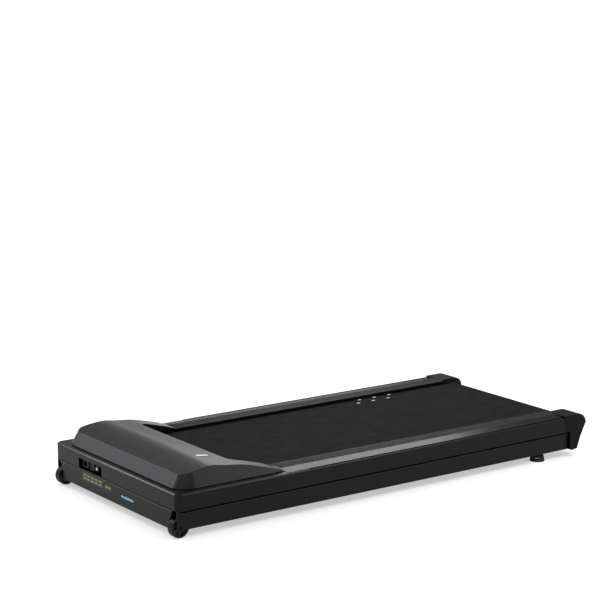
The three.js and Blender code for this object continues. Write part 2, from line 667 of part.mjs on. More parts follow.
for (const [name, side] of sides) {
  place(`side_frame_${name}`, sideFrame(side), finishes.blackPaint);
  place(`rail_cover_${name}`, railCover(side, coverFront + gap, capFront - gap), finishes.shellPlastic);
  place(`foot_strip_${name}`, footStrip(side), finishes.stripPlastic);
  place(`end_cap_${name}`, endCap(side), finishes.shellPlastic);
  place(`rear_bracket_${name}`, rearBracket(side), finishes.blackPaint);
  place(`tension_bolt_${name}`, tensionBolt(side), finishes.steel);
  place(`wheel_bracket_${name}`, wheelBracket(side), finishes.blackPaint);
  place(`transport_wheel_${name}`, transportWheel(side), finishes.blackPlastic);
  place(`wheel_bolt_${name}`, wheelBolt(side), finishes.steel);
  place(`rear_foot_${name}`, rearFoot(side), finishes.rubber);
  place(`foot_stem_${name}`, footStem(side), finishes.steel);
  place(`foot_nut_${name}`, footNut(side), finishes.steel);
  cushion.rows.forEach((share, row) => {
    const y = deckFront + share * (deckRear - deckFront);
    const x = side * (deckHalf - cushion.radius - 6);
    place(`deck_cushion_${name}_${row + 1}`,
      bar('z', channel.top + gap, deckBottom - gap, [x, y], cushion.radius), finishes.rubber);
  });
}

export default model;
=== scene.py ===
"""A low walking treadmill: its covers, belt, running gear and finishes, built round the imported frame."""

from __future__ import annotations

import json
import logging
import math
from collections.abc import Callable, Iterable, Sequence
from dataclasses import dataclass, field
from enum import Enum

import bmesh
import bpy
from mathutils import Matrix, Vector

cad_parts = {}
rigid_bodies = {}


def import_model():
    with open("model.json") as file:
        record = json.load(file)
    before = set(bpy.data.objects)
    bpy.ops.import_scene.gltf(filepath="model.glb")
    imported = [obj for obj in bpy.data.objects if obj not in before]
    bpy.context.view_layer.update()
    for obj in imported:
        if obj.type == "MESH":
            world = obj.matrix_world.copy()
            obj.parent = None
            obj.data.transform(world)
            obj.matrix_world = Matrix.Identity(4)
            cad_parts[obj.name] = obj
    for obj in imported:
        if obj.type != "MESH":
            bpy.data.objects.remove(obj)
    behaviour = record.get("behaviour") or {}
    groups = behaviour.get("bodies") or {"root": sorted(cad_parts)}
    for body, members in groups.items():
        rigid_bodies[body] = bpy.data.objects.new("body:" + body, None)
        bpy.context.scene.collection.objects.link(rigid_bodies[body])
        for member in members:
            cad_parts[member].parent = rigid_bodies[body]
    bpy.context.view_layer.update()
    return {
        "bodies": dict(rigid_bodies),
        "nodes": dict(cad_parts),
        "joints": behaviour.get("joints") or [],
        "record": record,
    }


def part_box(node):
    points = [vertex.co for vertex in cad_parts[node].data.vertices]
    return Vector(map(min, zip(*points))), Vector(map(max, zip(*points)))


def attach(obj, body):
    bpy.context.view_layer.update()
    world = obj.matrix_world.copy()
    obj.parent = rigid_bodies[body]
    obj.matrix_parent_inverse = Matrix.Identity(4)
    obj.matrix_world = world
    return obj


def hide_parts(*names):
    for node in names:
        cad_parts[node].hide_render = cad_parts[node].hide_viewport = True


log = logging.getLogger("treadmill")

Point = tuple[float, float, float]
Colour = tuple[float, float, float]
Test = Callable[..., bool]

SIDES = (("left", -1), ("right", 1))
DUST_COLOUR = (0.16, 0.155, 0.15, 1.0)
DUST_ROUGHNESS = 0.35


# ------------------------------------------------------------------ finishes


class Pattern(Enum):
    """The relief that a finish has besides its fine grain."""

    NONE = "none"
    WEAVE = "weave"
    RIBS_ALONG = "ribs along the machine"
    TURNED = "turned round an axle"
    THREAD = "screw thread"
    BRUSHED = "brushed along one axis"


@dataclass(frozen=True)
class Finish:
    """One finish: colour, gloss, grain and what has settled on it.

    Sizes are in metres. Grain is the fine moulded or sprayed texture, haze is the slow change of
    gloss across a panel, and dust lies on what faces up.
    """

    name: str
    slot: str
    colour: Colour
    roughness: float
    metallic: float = 0.0
    coat: float = 0.0
    coat_roughness: float = 0.15
    specular: float = 0.3
    grain: float = 0.0008
    grain_depth: float = 0.00002
    haze: float = 0.03
    tint: float = 0.06
    dust: float = 0.02
    pattern: Pattern = Pattern.NONE
    pitch: float = 0.003
    pattern_depth: float = 0.0002


class Look(Enum):
    """Every finish on the machine."""

    SHELL = Finish("shell_black", "shell_plastic", (0.0066, 0.0064, 0.0063), 0.42, specular=0.06,
                   grain=0.0007, grain_depth=0.00003)
    RAIL = Finish("rail_black", "shell_plastic", (0.0055, 0.0055, 0.0057), 0.27, specular=0.11,
                  grain=0.0009, grain_depth=0.000006, haze=0.0, dust=0.0)
    HOOD = Finish("hood_gloss", "hood_plastic", (0.0075, 0.0073, 0.0068), 0.33, coat=0.1,
                  coat_roughness=0.28, specular=0.32, grain=0.0012, grain_depth=0.000003, haze=0.0,
                  dust=0.0)
    PAINT = Finish("frame_paint", "frame_paint", (0.0058, 0.0062, 0.0068), 0.36, specular=0.12,
                   grain=0.0011, grain_depth=0.00003)
    STRIP = Finish("foot_strip", "strip_plastic", (0.011, 0.0108, 0.0104), 0.5, specular=0.25,
                   grain=0.0005, grain_depth=0.00003, pattern=Pattern.RIBS_ALONG, pitch=0.0047,
                   pattern_depth=0.0003, dust=0.04)
    BELT = Finish("belt_cloth", "belt", (0.0078, 0.0078, 0.0086), 0.8, specular=0.05, grain=0.0006,
                  grain_depth=0.00005, pattern=Pattern.WEAVE, pitch=0.0026, pattern_depth=0.00018,
                  dust=0.03)
    BELT_UNDER = Finish("belt_underside", "belt", (0.09, 0.085, 0.075), 0.85, grain=0.0005,
                        pattern=Pattern.WEAVE, pitch=0.0016, pattern_depth=0.00012)
    DECK = Finish("deck_board", "deck", (0.035, 0.022, 0.014), 0.45, grain=0.002, tint=0.3,
                  grain_depth=0.00003)
    RUBBER = Finish("rubber", "rubber", (0.011, 0.011, 0.011), 0.72, grain=0.0006,
                    grain_depth=0.00005, dust=0.08)
    FOOT = Finish("foot_rubber", "rubber", (0.009, 0.009, 0.009), 0.62, specular=0.25, grain=0.0006,
                  grain_depth=0.00004, dust=0.05)
    STEEL = Finish("zinc_steel", "steel", (0.42, 0.425, 0.43), 0.34, metallic=1.0, grain=0.0009,
                   tint=0.12, dust=0.0)
    TURNED_STEEL = Finish("turned_steel", "steel", (0.46, 0.465, 0.47), 0.28, metallic=1.0,
                          grain=0.0006, pattern=Pattern.TURNED, pitch=0.0009,
                          pattern_depth=0.00003, dust=0.0)
    THREADED = Finish("threaded_steel", "steel", (0.36, 0.365, 0.37), 0.36, metallic=1.0,
                      pattern=Pattern.THREAD, pitch=0.00125, pattern_depth=0.0006, dust=0.0)
    ALUMINIUM = Finish("extruded_aluminium", "aluminium", (0.62, 0.62, 0.63), 0.38, metallic=1.0,
                       pattern=Pattern.BRUSHED, pitch=0.0006, pattern_depth=0.00003)
    NYLON = Finish("black_nylon", "black_plastic", (0.0075, 0.0075, 0.008), 0.42, grain=0.0007,
                   grain_depth=0.00003)
    TREAD = Finish("wheel_tread", "black_plastic", (0.003, 0.003, 0.0031), 0.42, specular=0.2,
                   grain=0.0007, grain_depth=0.00004, dust=0.02)
    # A lighter copy of the frame paint, used on the seam lips: painted highlight along the folded edge.
    EDGE = Finish("edge_painted_highlight", "frame_paint", (0.03, 0.0305, 0.032), 0.34, specular=0.35,
                  grain=0.0011, grain_depth=0.00001)
    # Near-black: the port plate's own black plastic, and also painted shade on the hood skirt, the rails'
    # groove strips and the seam strips.
    BLACK_AND_SHADE = Finish("port_black_and_painted_shade", "black_plastic", (0.0008, 0.0008, 0.0008), 0.7, specular=0.02,
                    grain=0.0006, dust=0.0)
    WHITE = Finish("white_moulding", "white_plastic", (0.8, 0.8, 0.8), 0.35, coat=0.2, grain=0.0007)
    PRINT_WHITE = Finish("pale_print", "white_plastic", (0.62, 0.64, 0.66), 0.55, grain=0.0004)
    PRINT_YELLOW = Finish("yellow_print", "white_plastic", (0.3, 0.3, 0.07), 0.5, grain=0.0004)
    PRINT_BLUE = Finish("blue_print", "white_plastic", (0.16, 0.31, 0.42), 0.4, grain=0.0004,
                        coat=0.3)
    LENS_BLUE = Finish("lens_blue", "white_plastic", (0.03, 0.12, 0.22), 0.25, grain=0.0004, coat=0.4)
    LABEL = Finish("label_film", "black_plastic", (0.008, 0.008, 0.008), 0.36, grain=0.0004)
    IRON = Finish("turned_iron", "cast_iron", (0.1, 0.1, 0.105), 0.5, metallic=0.9, grain=0.0009,
                  pattern=Pattern.TURNED, pitch=0.0011, pattern_depth=0.00005)


class ShaderGraph:
    """Adds nodes to one node tree and links them."""

    def __init__(self, tree: bpy.types.NodeTree) -> None:
        """Args: tree: the tree to fill, emptied first."""
        self.tree = tree
        tree.nodes.clear()

    def add(self, kind: str, settings: dict[str, object] | None = None,
            **inputs: object) -> bpy.types.Node:
        """Adds one node.

        Args:
            kind: the node's type name, such as "ShaderNodeMath".
            settings: node properties to set.
            **inputs: values or sockets by input name, with spaces written as underscores.

        Returns:
            The new node.
        """
        node = self.tree.nodes.new(kind)
        for key, value in (settings or {}).items():
            setattr(node, key, value)
        for key, value in inputs.items():
            self.feed(node.inputs[key.replace("_", " ")], value)
        return node

    def feed(self, socket: bpy.types.NodeSocket, value: object) -> None:
        """Links a socket to an output, or sets its value."""
        if isinstance(value, bpy.types.NodeSocket):
            self.tree.links.new(value, socket)
        else:
            socket.default_value = value

    def math(self, operation: str, first: object, second: object = 0.0,
             clamp: bool = False) -> bpy.types.NodeSocket:
        """One Math node; returns its output."""
        node = self.add("ShaderNodeMath", {"operation": operation, "use_clamp": clamp})
        self.feed(node.inputs[0], first)
        self.feed(node.inputs[1], second)
        return node.outputs[0]

    def ramp(self, value: object, low: float, high: float) -> bpy.types.NodeSocket:
        """Maps low..high to 0..1 with a smooth step; returns the output."""
        node = self.add("ShaderNodeMapRange", {"interpolation_type": "SMOOTHSTEP"})
        self.feed(node.inputs["Value"], value)
        node.inputs["From Min"].default_value = low
        node.inputs["From Max"].default_value = high
        return node.outputs["Result"]

    def noise(self, vector: object, scale: object, detail: float = 3.0) -> bpy.types.NodeSocket:
        """A noise texture's value; returns the output."""
        node = self.add("ShaderNodeTexNoise", Vector=vector, Detail=detail)
        self.feed(node.inputs["Scale"], scale)
        return node.outputs["Fac"]

    def mix(self, factor: object, first: object, second: object) -> bpy.types.NodeSocket:
        """Mixes two colours; returns the colour output."""
        node = self.add("ShaderNodeMix", {"data_type": "RGBA"})
        self.feed(node.inputs[0], factor)
        self.feed(node.inputs[6], first)
        self.feed(node.inputs[7], second)
        return node.outputs[2]


class EffectGroups:
    """The shader node groups that the finishes share, each built once."""

    def __init__(self) -> None:
        """Builds all the groups."""
        self.grain = self._grain()
        self.haze = self._haze()
        self.dust = self._dust()
        self.weave = self._weave()
        self.ribs = self._ribs()
        self.turned = self._turned()
        self.brushed = self._brushed()

    @staticmethod
    def _start(name: str, inputs: Sequence[tuple[str, str, float]],
               outputs: Sequence[str]) -> tuple[ShaderGraph, bpy.types.Node, bpy.types.Node]:
        """Starts a group with named sockets.

        Args:
            name: the group's name.
            inputs: (name, socket type, default) of each input.
            outputs: names of the float outputs.

        Returns:
            The graph, and its input and output nodes.
        """
        tree = bpy.data.node_groups.new(name, "ShaderNodeTree")
        for label, kind, default in inputs:
            socket = tree.interface.new_socket(label, in_out="INPUT", socket_type=kind)
            if kind == "NodeSocketFloat":
                socket.default_value = default
        for label in outputs:
            tree.interface.new_socket(label, in_out="OUTPUT", socket_type="NodeSocketFloat")
        graph = ShaderGraph(tree)
        return graph, graph.add("NodeGroupInput"), graph.add("NodeGroupOutput")

    def _grain(self) -> bpy.types.NodeTree:
        """Fine moulded texture: rounded pits over softer orange peel."""
        graph, given, out = self._start("surface_grain", [
            ("Vector", "NodeSocketVector", 0), ("Size", "NodeSocketFloat", 0.001)], ["Height", "Mask"])
        scale = graph.math("DIVIDE", 1.0, given.outputs["Size"])
        pits = graph.add("ShaderNodeTexVoronoi", {"feature": "SMOOTH_F1"}, Vector=given.outputs["Vector"])
        graph.feed(pits.inputs["Scale"], scale)
        peel = graph.noise(given.outputs["Vector"], graph.math("MULTIPLY", scale, 0.45), 4.0)
        height = graph.math("ADD", graph.math("MULTIPLY", pits.outputs["Distance"], 0.6),
                            graph.math("MULTIPLY", peel, 0.7))
        graph.feed(out.inputs["Height"], height)
        graph.feed(out.inputs["Mask"], graph.ramp(peel, 0.35, 0.7))
        return graph.tree

    def _haze(self) -> bpy.types.NodeTree:
        """Slow patches of handling and polish over a panel."""
        graph, given, out = self._start("panel_haze", [
            ("Vector", "NodeSocketVector", 0), ("Spread", "NodeSocketFloat", 0.09)], ["Mask", "Streaks"])
        scale = graph.math("DIVIDE", 1.0, given.outputs["Spread"])
        patches = graph.noise(given.outputs["Vector"], scale, 5.0)
        stretch = graph.add("ShaderNodeMapping", Vector=given.outputs["Vector"], Scale=(6.0, 0.7, 6.0))
        streaks = graph.noise(stretch.outputs[0], graph.math("MULTIPLY", scale, 2.2), 6.0)
        graph.feed(out.inputs["Mask"], graph.ramp(patches, 0.3, 0.72))
        graph.feed(out.inputs["Streaks"], graph.ramp(streaks, 0.52, 0.78))
        return graph.tree

    def _dust(self) -> bpy.types.NodeTree:
        """Dust on what faces up, broken by noise."""
        graph, given, out = self._start("settled_dust", [
            ("Vector", "NodeSocketVector", 0), ("Amount", "NodeSocketFloat", 0.1)], ["Mask"])
        geometry = graph.add("ShaderNodeNewGeometry")
        split = graph.add("ShaderNodeSeparateXYZ", Vector=geometry.outputs["Normal"])
        facing = graph.ramp(split.outputs["Z"], 0.35, 1.0)
        cloud = graph.noise(given.outputs["Vector"], 26.0, 7.0)
        specks = graph.noise(given.outputs["Vector"], 900.0, 2.0)
        broken = graph.math("ADD", graph.ramp(cloud, 0.35, 0.75),
                            graph.math("MULTIPLY", graph.ramp(specks, 0.62, 0.7), 0.6))
        mask = graph.math("MULTIPLY", graph.math("MULTIPLY", facing, broken), given.outputs["Amount"], True)
        graph.feed(out.inputs["Mask"], mask)
        return graph.tree

    def _weave(self) -> bpy.types.NodeTree:
        """Small raised diamonds in rows, as pressed into a walking belt."""
        graph, given, out = self._start("woven_relief", [
            ("Vector", "NodeSocketVector", 0), ("Pitch", "NodeSocketFloat", 0.003)], ["Height"])
        turn = graph.add("ShaderNodeMapping", Vector=given.outputs["Vector"],
                         Rotation=(0.0, 0.0, math.radians(45)))
        split = graph.add("ShaderNodeSeparateXYZ", Vector=turn.outputs[0])
        turns = graph.math("DIVIDE", 2 * math.pi, given.outputs["Pitch"])
        waves = [graph.math("SINE", graph.math("MULTIPLY", split.outputs[axis], turns)) for axis in "XY"]
        lumps = graph.math("MULTIPLY", waves[0], waves[1])
        fibre = graph.noise(given.outputs["Vector"], 1400.0, 3.0)
        graph.feed(out.inputs["Height"], graph.math(
            "ADD", graph.ramp(lumps, -0.6, 0.8), graph.math("MULTIPLY", fibre, 0.35)))
        return graph.tree

    def _ribs(self) -> bpy.types.NodeTree:
        """Rounded ribs that run along Y."""
        graph, given, out = self._start("long_ribs", [
            ("Vector", "NodeSocketVector", 0), ("Pitch", "NodeSocketFloat", 0.004)], ["Height"])
        split = graph.add("ShaderNodeSeparateXYZ", Vector=given.outputs["Vector"])
        turns = graph.math("DIVIDE", 2 * math.pi, given.outputs["Pitch"])
        wave = graph.math("SINE", graph.math("MULTIPLY", split.outputs["X"], turns))
        graph.feed(out.inputs["Height"], graph.ramp(wave, -0.75, 0.75))
        return graph.tree

    def _turned(self) -> bpy.types.NodeTree:
        """Fine rings left by a lathe, spaced along X, with an uneven depth."""
        graph, given, out = self._start("lathe_rings", [
            ("Vector", "NodeSocketVector", 0), ("Pitch", "NodeSocketFloat", 0.001)], ["Height"])
        squash = graph.add("ShaderNodeMapping", Vector=given.outputs["Vector"], Scale=(1.0, 0.02, 0.02))
        fine = graph.noise(squash.outputs[0], graph.math("DIVIDE", 1.0, given.outputs["Pitch"]), 2.0)
        graph.feed(out.inputs["Height"], fine)
        return graph.tree

    def _brushed(self) -> bpy.types.NodeTree:
        """Draw lines that run along Y."""
        graph, given, out = self._start("draw_lines", [
            ("Vector", "NodeSocketVector", 0), ("Pitch", "NodeSocketFloat", 0.001)], ["Height"])
        squash = graph.add("ShaderNodeMapping", Vector=given.outputs["Vector"], Scale=(1.0, 0.03, 1.0))
        fine = graph.noise(squash.outputs[0], graph.math("DIVIDE", 1.0, given.outputs["Pitch"]), 3.0)
        graph.feed(out.inputs["Height"], fine)
        return graph.tree


class FinishShop:
    """Makes each finish's material once and paints pieces with it."""

    def __init__(self) -> None:
        """Builds the shared groups."""
        self.groups = EffectGroups()
        self.made: dict[str, bpy.types.Material] = {}

    def material(self, finish: Finish) -> bpy.types.Material:
        """The material of a finish.

        Args:
            finish: what to make.

        Returns:
            The material, made on first use.
        """
        if finish.name not in self.made:
            self.made[finish.name] = self._make(finish)
        return self.made[finish.name]

    def paint(self, piece: bpy.types.Object, look: Look) -> None:
        """Gives a piece one finish all over."""
        piece.data.materials.clear()
        piece.data.materials.append(self.material(look.value))

    def paint_part(self, piece: bpy.types.Object, look: Look, test: Test) -> None:
        """Gives the faces that pass a test a second finish.

        Args:
            piece: a painted piece.
            look: the second finish.
            test: takes a face's centre and normal.
        """
        piece.data.materials.append(self.material(look.value))
        index = len(piece.data.materials) - 1
        for polygon in piece.data.polygons:
            if test(polygon.center, polygon.normal):
                polygon.material_index = index

    def _relief(self, graph: ShaderGraph, finish: Finish,
                vector: bpy.types.NodeSocket) -> bpy.types.NodeSocket | None:
        """The height of a finish's own pattern, or None where it has none."""
        tree = {
            Pattern.WEAVE: self.groups.weave, Pattern.RIBS_ALONG: self.groups.ribs,
            Pattern.TURNED: self.groups.turned, Pattern.BRUSHED: self.groups.brushed,
            Pattern.THREAD: self.groups.ribs,
        }.get(finish.pattern)
        if tree is None:
            return None
        if finish.pattern is Pattern.THREAD:
            vector = graph.add("ShaderNodeMapping", Vector=vector,
                               Rotation=(0.0, math.radians(90), 0.0)).outputs[0]
        node = graph.add("ShaderNodeGroup", {"node_tree": tree}, Vector=vector, Pitch=finish.pitch)
        return node.outputs["Height"]

    def _make(self, finish: Finish) -> bpy.types.Material:
        """Builds one finish's material."""
        material = bpy.data.materials.new(finish.name)
        material.use_nodes = True
        graph = ShaderGraph(material.node_tree)
        vector = graph.add("ShaderNodeTexCoord").outputs["Object"]
        group = "ShaderNodeGroup"
        grain = graph.add(group, {"node_tree": self.groups.grain}, Vector=vector, Size=finish.grain)
        haze = graph.add(group, {"node_tree": self.groups.haze}, Vector=vector)
        dust = graph.add(group, {"node_tree": self.groups.dust}, Vector=vector, Amount=finish.dust)
        base = (*finish.colour, 1.0)
        darker = (*(channel * (1 - finish.tint) for channel in finish.colour), 1.0)
        colour = graph.mix(haze.outputs["Mask"], darker, base)
        colour = graph.mix(dust.outputs["Mask"], colour, DUST_COLOUR)
        rough = graph.math("ADD", finish.roughness - finish.haze / 2,
                           graph.math("MULTIPLY", haze.outputs["Mask"], finish.haze))
        streaks = graph.math("MULTIPLY", haze.outputs["Streaks"], finish.haze / 2)
        rough = graph.math("SUBTRACT", rough, streaks)
        rough = graph.math("ADD", rough, graph.math("MULTIPLY", dust.outputs["Mask"], DUST_ROUGHNESS), True)
        bump = graph.add("ShaderNodeBump", Height=grain.outputs["Height"], Distance=finish.grain_depth)
        relief = self._relief(graph, finish, vector)
        if relief is not None:
            bump = graph.add("ShaderNodeBump", Height=relief, Distance=finish.pattern_depth,
                             Normal=bump.outputs["Normal"])
        shader = graph.add("ShaderNodeBsdfPrincipled", Base_Color=colour, Roughness=rough,
                           Metallic=finish.metallic, Normal=bump.outputs["Normal"])
        shader.inputs["Coat Weight"].default_value = finish.coat
        shader.inputs["Coat Roughness"].default_value = finish.coat_roughness
        shader.inputs["Specular IOR Level"].default_value = finish.specular
        output = graph.add("ShaderNodeOutputMaterial")
        graph.feed(output.inputs["Surface"], shader.outputs[0])
        return material


# ------------------------------------------------------------------ the bench


class Bench:
    """Adds primitives and shapes them in edit mode, and finishes them with modifiers."""

    def clear(self) -> None:
        """Leaves nothing selected and no object active in edit mode."""
        if bpy.context.object and bpy.context.object.mode != "OBJECT":
            bpy.ops.object.mode_set(mode="OBJECT")
        bpy.ops.object.select_all(action="DESELECT")

    def hold(self, piece: bpy.types.Object) -> None:
        """Selects one piece and makes it active."""
        self.clear()
        piece.select_set(True)
        bpy.context.view_layer.objects.active = piece

    def settle(self, piece: bpy.types.Object, name: str) -> bpy.types.Object:
        """Names a piece and moves its place and turn into its mesh."""
        self.hold(piece)
        bpy.ops.object.transform_apply(location=True, rotation=True, scale=True)
        piece.name = name
        piece.data.name = name
        return piece

    def block(self, name: str, low: Sequence[float], high: Sequence[float]) -> bpy.types.Object:
        """A box between two corners.

        Args:
            name: the new piece's name.
            low: its lowest corner.
            high: its highest corner.

        Returns:
            The box, at the origin with its place in its mesh.
        """
        self.clear()
        centre = (Vector(low) + Vector(high)) / 2
        bpy.ops.mesh.primitive_cube_add(size=1, location=centre)
        piece = bpy.context.object
        piece.scale = Vector(high) - Vector(low)
        return self.settle(piece, name)

    def rod(self, name: str, start: Sequence[float], end: Sequence[float], radius: float,
            sides: int = 48) -> bpy.types.Object:
        """A cylinder from one point to another.

        Args:
            name: the new piece's name.
            start: centre of one end.
            end: centre of the other.
            radius: its radius.
            sides: faces round it.

        Returns:
            The cylinder.
        """
        self.clear()
        first, second = Vector(start), Vector(end)
        bpy.ops.mesh.primitive_cylinder_add(vertices=sides, radius=radius,
                                            depth=(second - first).length, location=(first + second) / 2)
        piece = bpy.context.object
        piece.rotation_euler = (second - first).to_track_quat("Z", "Y").to_euler()
        return self.settle(piece, name)

    def ring(self, name: str, centre: Sequence[float], radius: float, thickness: float,
             axis: Sequence[float] = (1, 0, 0), sides: int = 64) -> bpy.types.Object:
        """A torus round an axis.

        Args:
            name: the new piece's name.
            centre: its centre.
            radius: from the axis to the middle of the tube.
            thickness: the tube's radius.
            axis: the direction that it goes round.
            sides: segments round the axis.

        Returns:
            The torus.
        """
        self.clear()
        bpy.ops.mesh.primitive_torus_add(major_radius=radius, minor_radius=thickness, location=centre,
                                         major_segments=sides, minor_segments=12)
        piece = bpy.context.object
        piece.rotation_euler = Vector(axis).to_track_quat("Z", "Y").to_euler()
        return self.settle(piece, name)

    def turned(self, name: str, outline: Sequence[tuple[float, float]], centre: tuple[float, float],
               sides: int = 72) -> bpy.types.Object:
        """A closed outline turned round a line along X.

        Args:
            name: the new piece's name.
            outline: places as X and distance from the line.
            centre: the line's Y and Z.
            sides: segments round the line.

        Returns:
            The turned piece.
        """
        mesh = bpy.data.meshes.new(name)
        places, faces = [], []
        count = len(outline)
        for step in range(sides):
            angle = 2 * math.pi * step / sides
            places += [(x, centre[0] + reach * math.cos(angle), centre[1] + reach * math.sin(angle))
                       for x, reach in outline]
            here, there = step * count, (step + 1) % sides * count
            faces += [(here + point, here + (point + 1) % count, there + (point + 1) % count, there + point)
                      for point in range(count)]
        mesh.from_pydata(places, [], faces)
        piece = bpy.data.objects.new(name, mesh)
        bpy.context.scene.collection.objects.link(piece)
        return self.outward(piece)

    def copy_of(self, node: bpy.types.Object, name: str) -> bpy.types.Object:
        """A welded copy of a frame node, with its flat faces whole again.

        Args:
            node: the node to copy.
            name: the copy's name.

        Returns:
            The copy.
        """
        piece = bpy.data.objects.new(name, node.data.copy())
        piece.data.name = name
        bpy.context.scene.collection.objects.link(piece)
        piece.data.materials.clear()
        self.edit(piece)
        bpy.ops.mesh.select_all(action="SELECT")
        bpy.ops.mesh.remove_doubles(threshold=1e-5)
        bpy.ops.mesh.dissolve_limited(angle_limit=math.radians(0.4))
        self.clear()
        return piece

    def edit(self, piece: bpy.types.Object) -> None:
        """Opens a piece in edit mode."""
        self.hold(piece)
        bpy.ops.object.mode_set(mode="EDIT")

    def pick(self, piece: bpy.types.Object, kind: str, test: Test) -> int:
        """Opens a piece and selects its faces, edges or vertices by a test.

        Args:
            piece: the piece to open.
            kind: "FACE", "EDGE" or "VERT".
            test: takes the element.

        Returns:
            How many are selected.
        """
        self.edit(piece)
        bpy.ops.mesh.select_mode(type=kind)
        bpy.ops.mesh.select_all(action="DESELECT")
        shape = bmesh.from_edit_mesh(piece.data)
        elements = {"FACE": shape.faces, "EDGE": shape.edges, "VERT": shape.verts}[kind]
        count = 0
        for element in elements:
            if test(element):
                element.select_set(True)
                count += 1
        shape.select_flush_mode()
        bmesh.update_edit_mesh(piece.data)
        return count

    def bevel_edges(self, piece: bpy.types.Object, test: Test, width: float, segments: int = 4) -> None:
        """Rounds the edges that pass a test."""
        if self.pick(piece, "EDGE", test):
            bpy.ops.mesh.bevel(offset=width, segments=segments, affect="EDGES", clamp_overlap=True)
        self.clear()

    def slice(self, piece: bpy.types.Object, place: Sequence[float], normal: Sequence[float]) -> None:
        """Cuts an edge loop where a plane crosses the piece."""
        self.edit(piece)
        bpy.ops.mesh.select_all(action="SELECT")
        bpy.ops.mesh.bisect(plane_co=place, plane_no=normal)
        self.clear()

    def modify(self, piece: bpy.types.Object, kind: str, **settings: object) -> None:
        """Adds one modifier and applies it."""
        self.hold(piece)
        modifier = piece.modifiers.new(kind.lower(), kind)
        for key, value in settings.items():
            setattr(modifier, key, value)
        bpy.ops.object.modifier_apply(modifier=modifier.name)

    def cut(self, piece: bpy.types.Object, *tools: bpy.types.Object,
            operation: str = "DIFFERENCE") -> bpy.types.Object:
        """Cuts, joins or crosses a piece with tools, and removes the tools.

        Args:
            piece: the piece that stays.
            *tools: what it is cut by.
            operation: the Boolean modifier's operation.

        Returns:
            The piece.
        """
        for tool in tools:
            self.modify(piece, "BOOLEAN", object=tool, operation=operation, solver="EXACT")
            bpy.data.objects.remove(tool)
        return piece

    def round_off(self, piece: bpy.types.Object, width: float, segments: int = 3,
                  angle: float = 30.0, smooth: float = 35.0) -> bpy.types.Object:
        """Rounds all sharp edges and shades the piece.

        Args:
            piece: the piece.
            width: how wide the rounding is.
            segments: faces across it.
            angle: only edges sharper than this are rounded, in degrees.
            smooth: edges flatter than this are shaded smooth, in degrees.

        Returns:
            The piece.
        """
        self.modify(piece, "BEVEL", width=width, segments=segments, limit_method="ANGLE",
                    angle_limit=math.radians(angle), use_clamp_overlap=True, miter_outer="MITER_ARC",
                    harden_normals=False)
        return self.shade(piece, smooth)

    def shade(self, piece: bpy.types.Object, angle: float = 35.0) -> bpy.types.Object:
        """Shades a piece smooth, with creases at sharper edges, and weighs its normals by area."""
        self.hold(piece)
        bpy.ops.object.shade_smooth_by_angle(angle=math.radians(angle))
        self.modify(piece, "WEIGHTED_NORMAL", keep_sharp=True, weight=80)
        return piece

    def join(self, name: str, pieces: Sequence[bpy.types.Object]) -> bpy.types.Object:
        """Joins pieces into one object."""
        self.hold(pieces[0])
        for piece in pieces:
            piece.select_set(True)
        if len(pieces) > 1:
            bpy.ops.object.join()
        pieces[0].name = name
        return pieces[0]

    def outward(self, piece: bpy.types.Object) -> bpy.types.Object:
        """Turns all the faces of a piece outwards."""
        self.edit(piece)
        bpy.ops.mesh.select_all(action="SELECT")
        bpy.ops.mesh.normals_make_consistent(inside=False)
        self.clear()
        return piece


# ------------------------------------------------------------------ sub-assemblies


@dataclass
class Workshop:
    """What every sub-assembly needs: the frame, the bench and the finishes."""

    frame: dict
    bench: Bench = field(default_factory=Bench)
    shop: FinishShop = field(default_factory=FinishShop)

    def __post_init__(self) -> None:
        """Finds the body that each node rides on."""
        groups = self.frame["record"]["behaviour"]["bodies"]
        self.body_of = {node: body for body, nodes in groups.items() for node in nodes}

    def box(self, node: str) -> tuple[Vector, Vector]:
        """A node's lowest and highest corner."""
        low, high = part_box(node)
        return Vector(low), Vector(high)

    def fit(self, piece: bpy.types.Object, look: Look, body: str,
            replaces: Iterable[str] = ()) -> bpy.types.Object:
        """Paints a piece, lets it ride on a body and hides the nodes that it stands for.

        Args:
            piece: the finished piece.
            look: its finish.
            body: the body that it moves with.
            replaces: the nodes that it stands for.

        Returns:
            The piece.
        """
        self.shop.paint(piece, look)
        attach(piece, body)
        names = tuple(replaces)
        if names:
            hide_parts(*names)
        log.info("%s rides on %s", piece.name, body)
        return piece

    def refine(self, node: str, look: Look, width: float, segments: int = 3,
               angle: float = 30.0) -> bpy.types.Object:
        """Stands a rounded, welded copy in a node's place.

        Args:
            node: the node to replace.
            look: its finish.
            width: how wide its edges are rounded.
            segments: faces across the rounding.
            angle: edges sharper than this are rounded, in degrees.

        Returns:
            The new piece.
        """
        piece = self.bench.copy_of(self.frame["nodes"][node], f"{node}_shell")
        self.bench.round_off(piece, width, segments, angle)
        return self.fit(piece, look, self.body_of[node], [node])


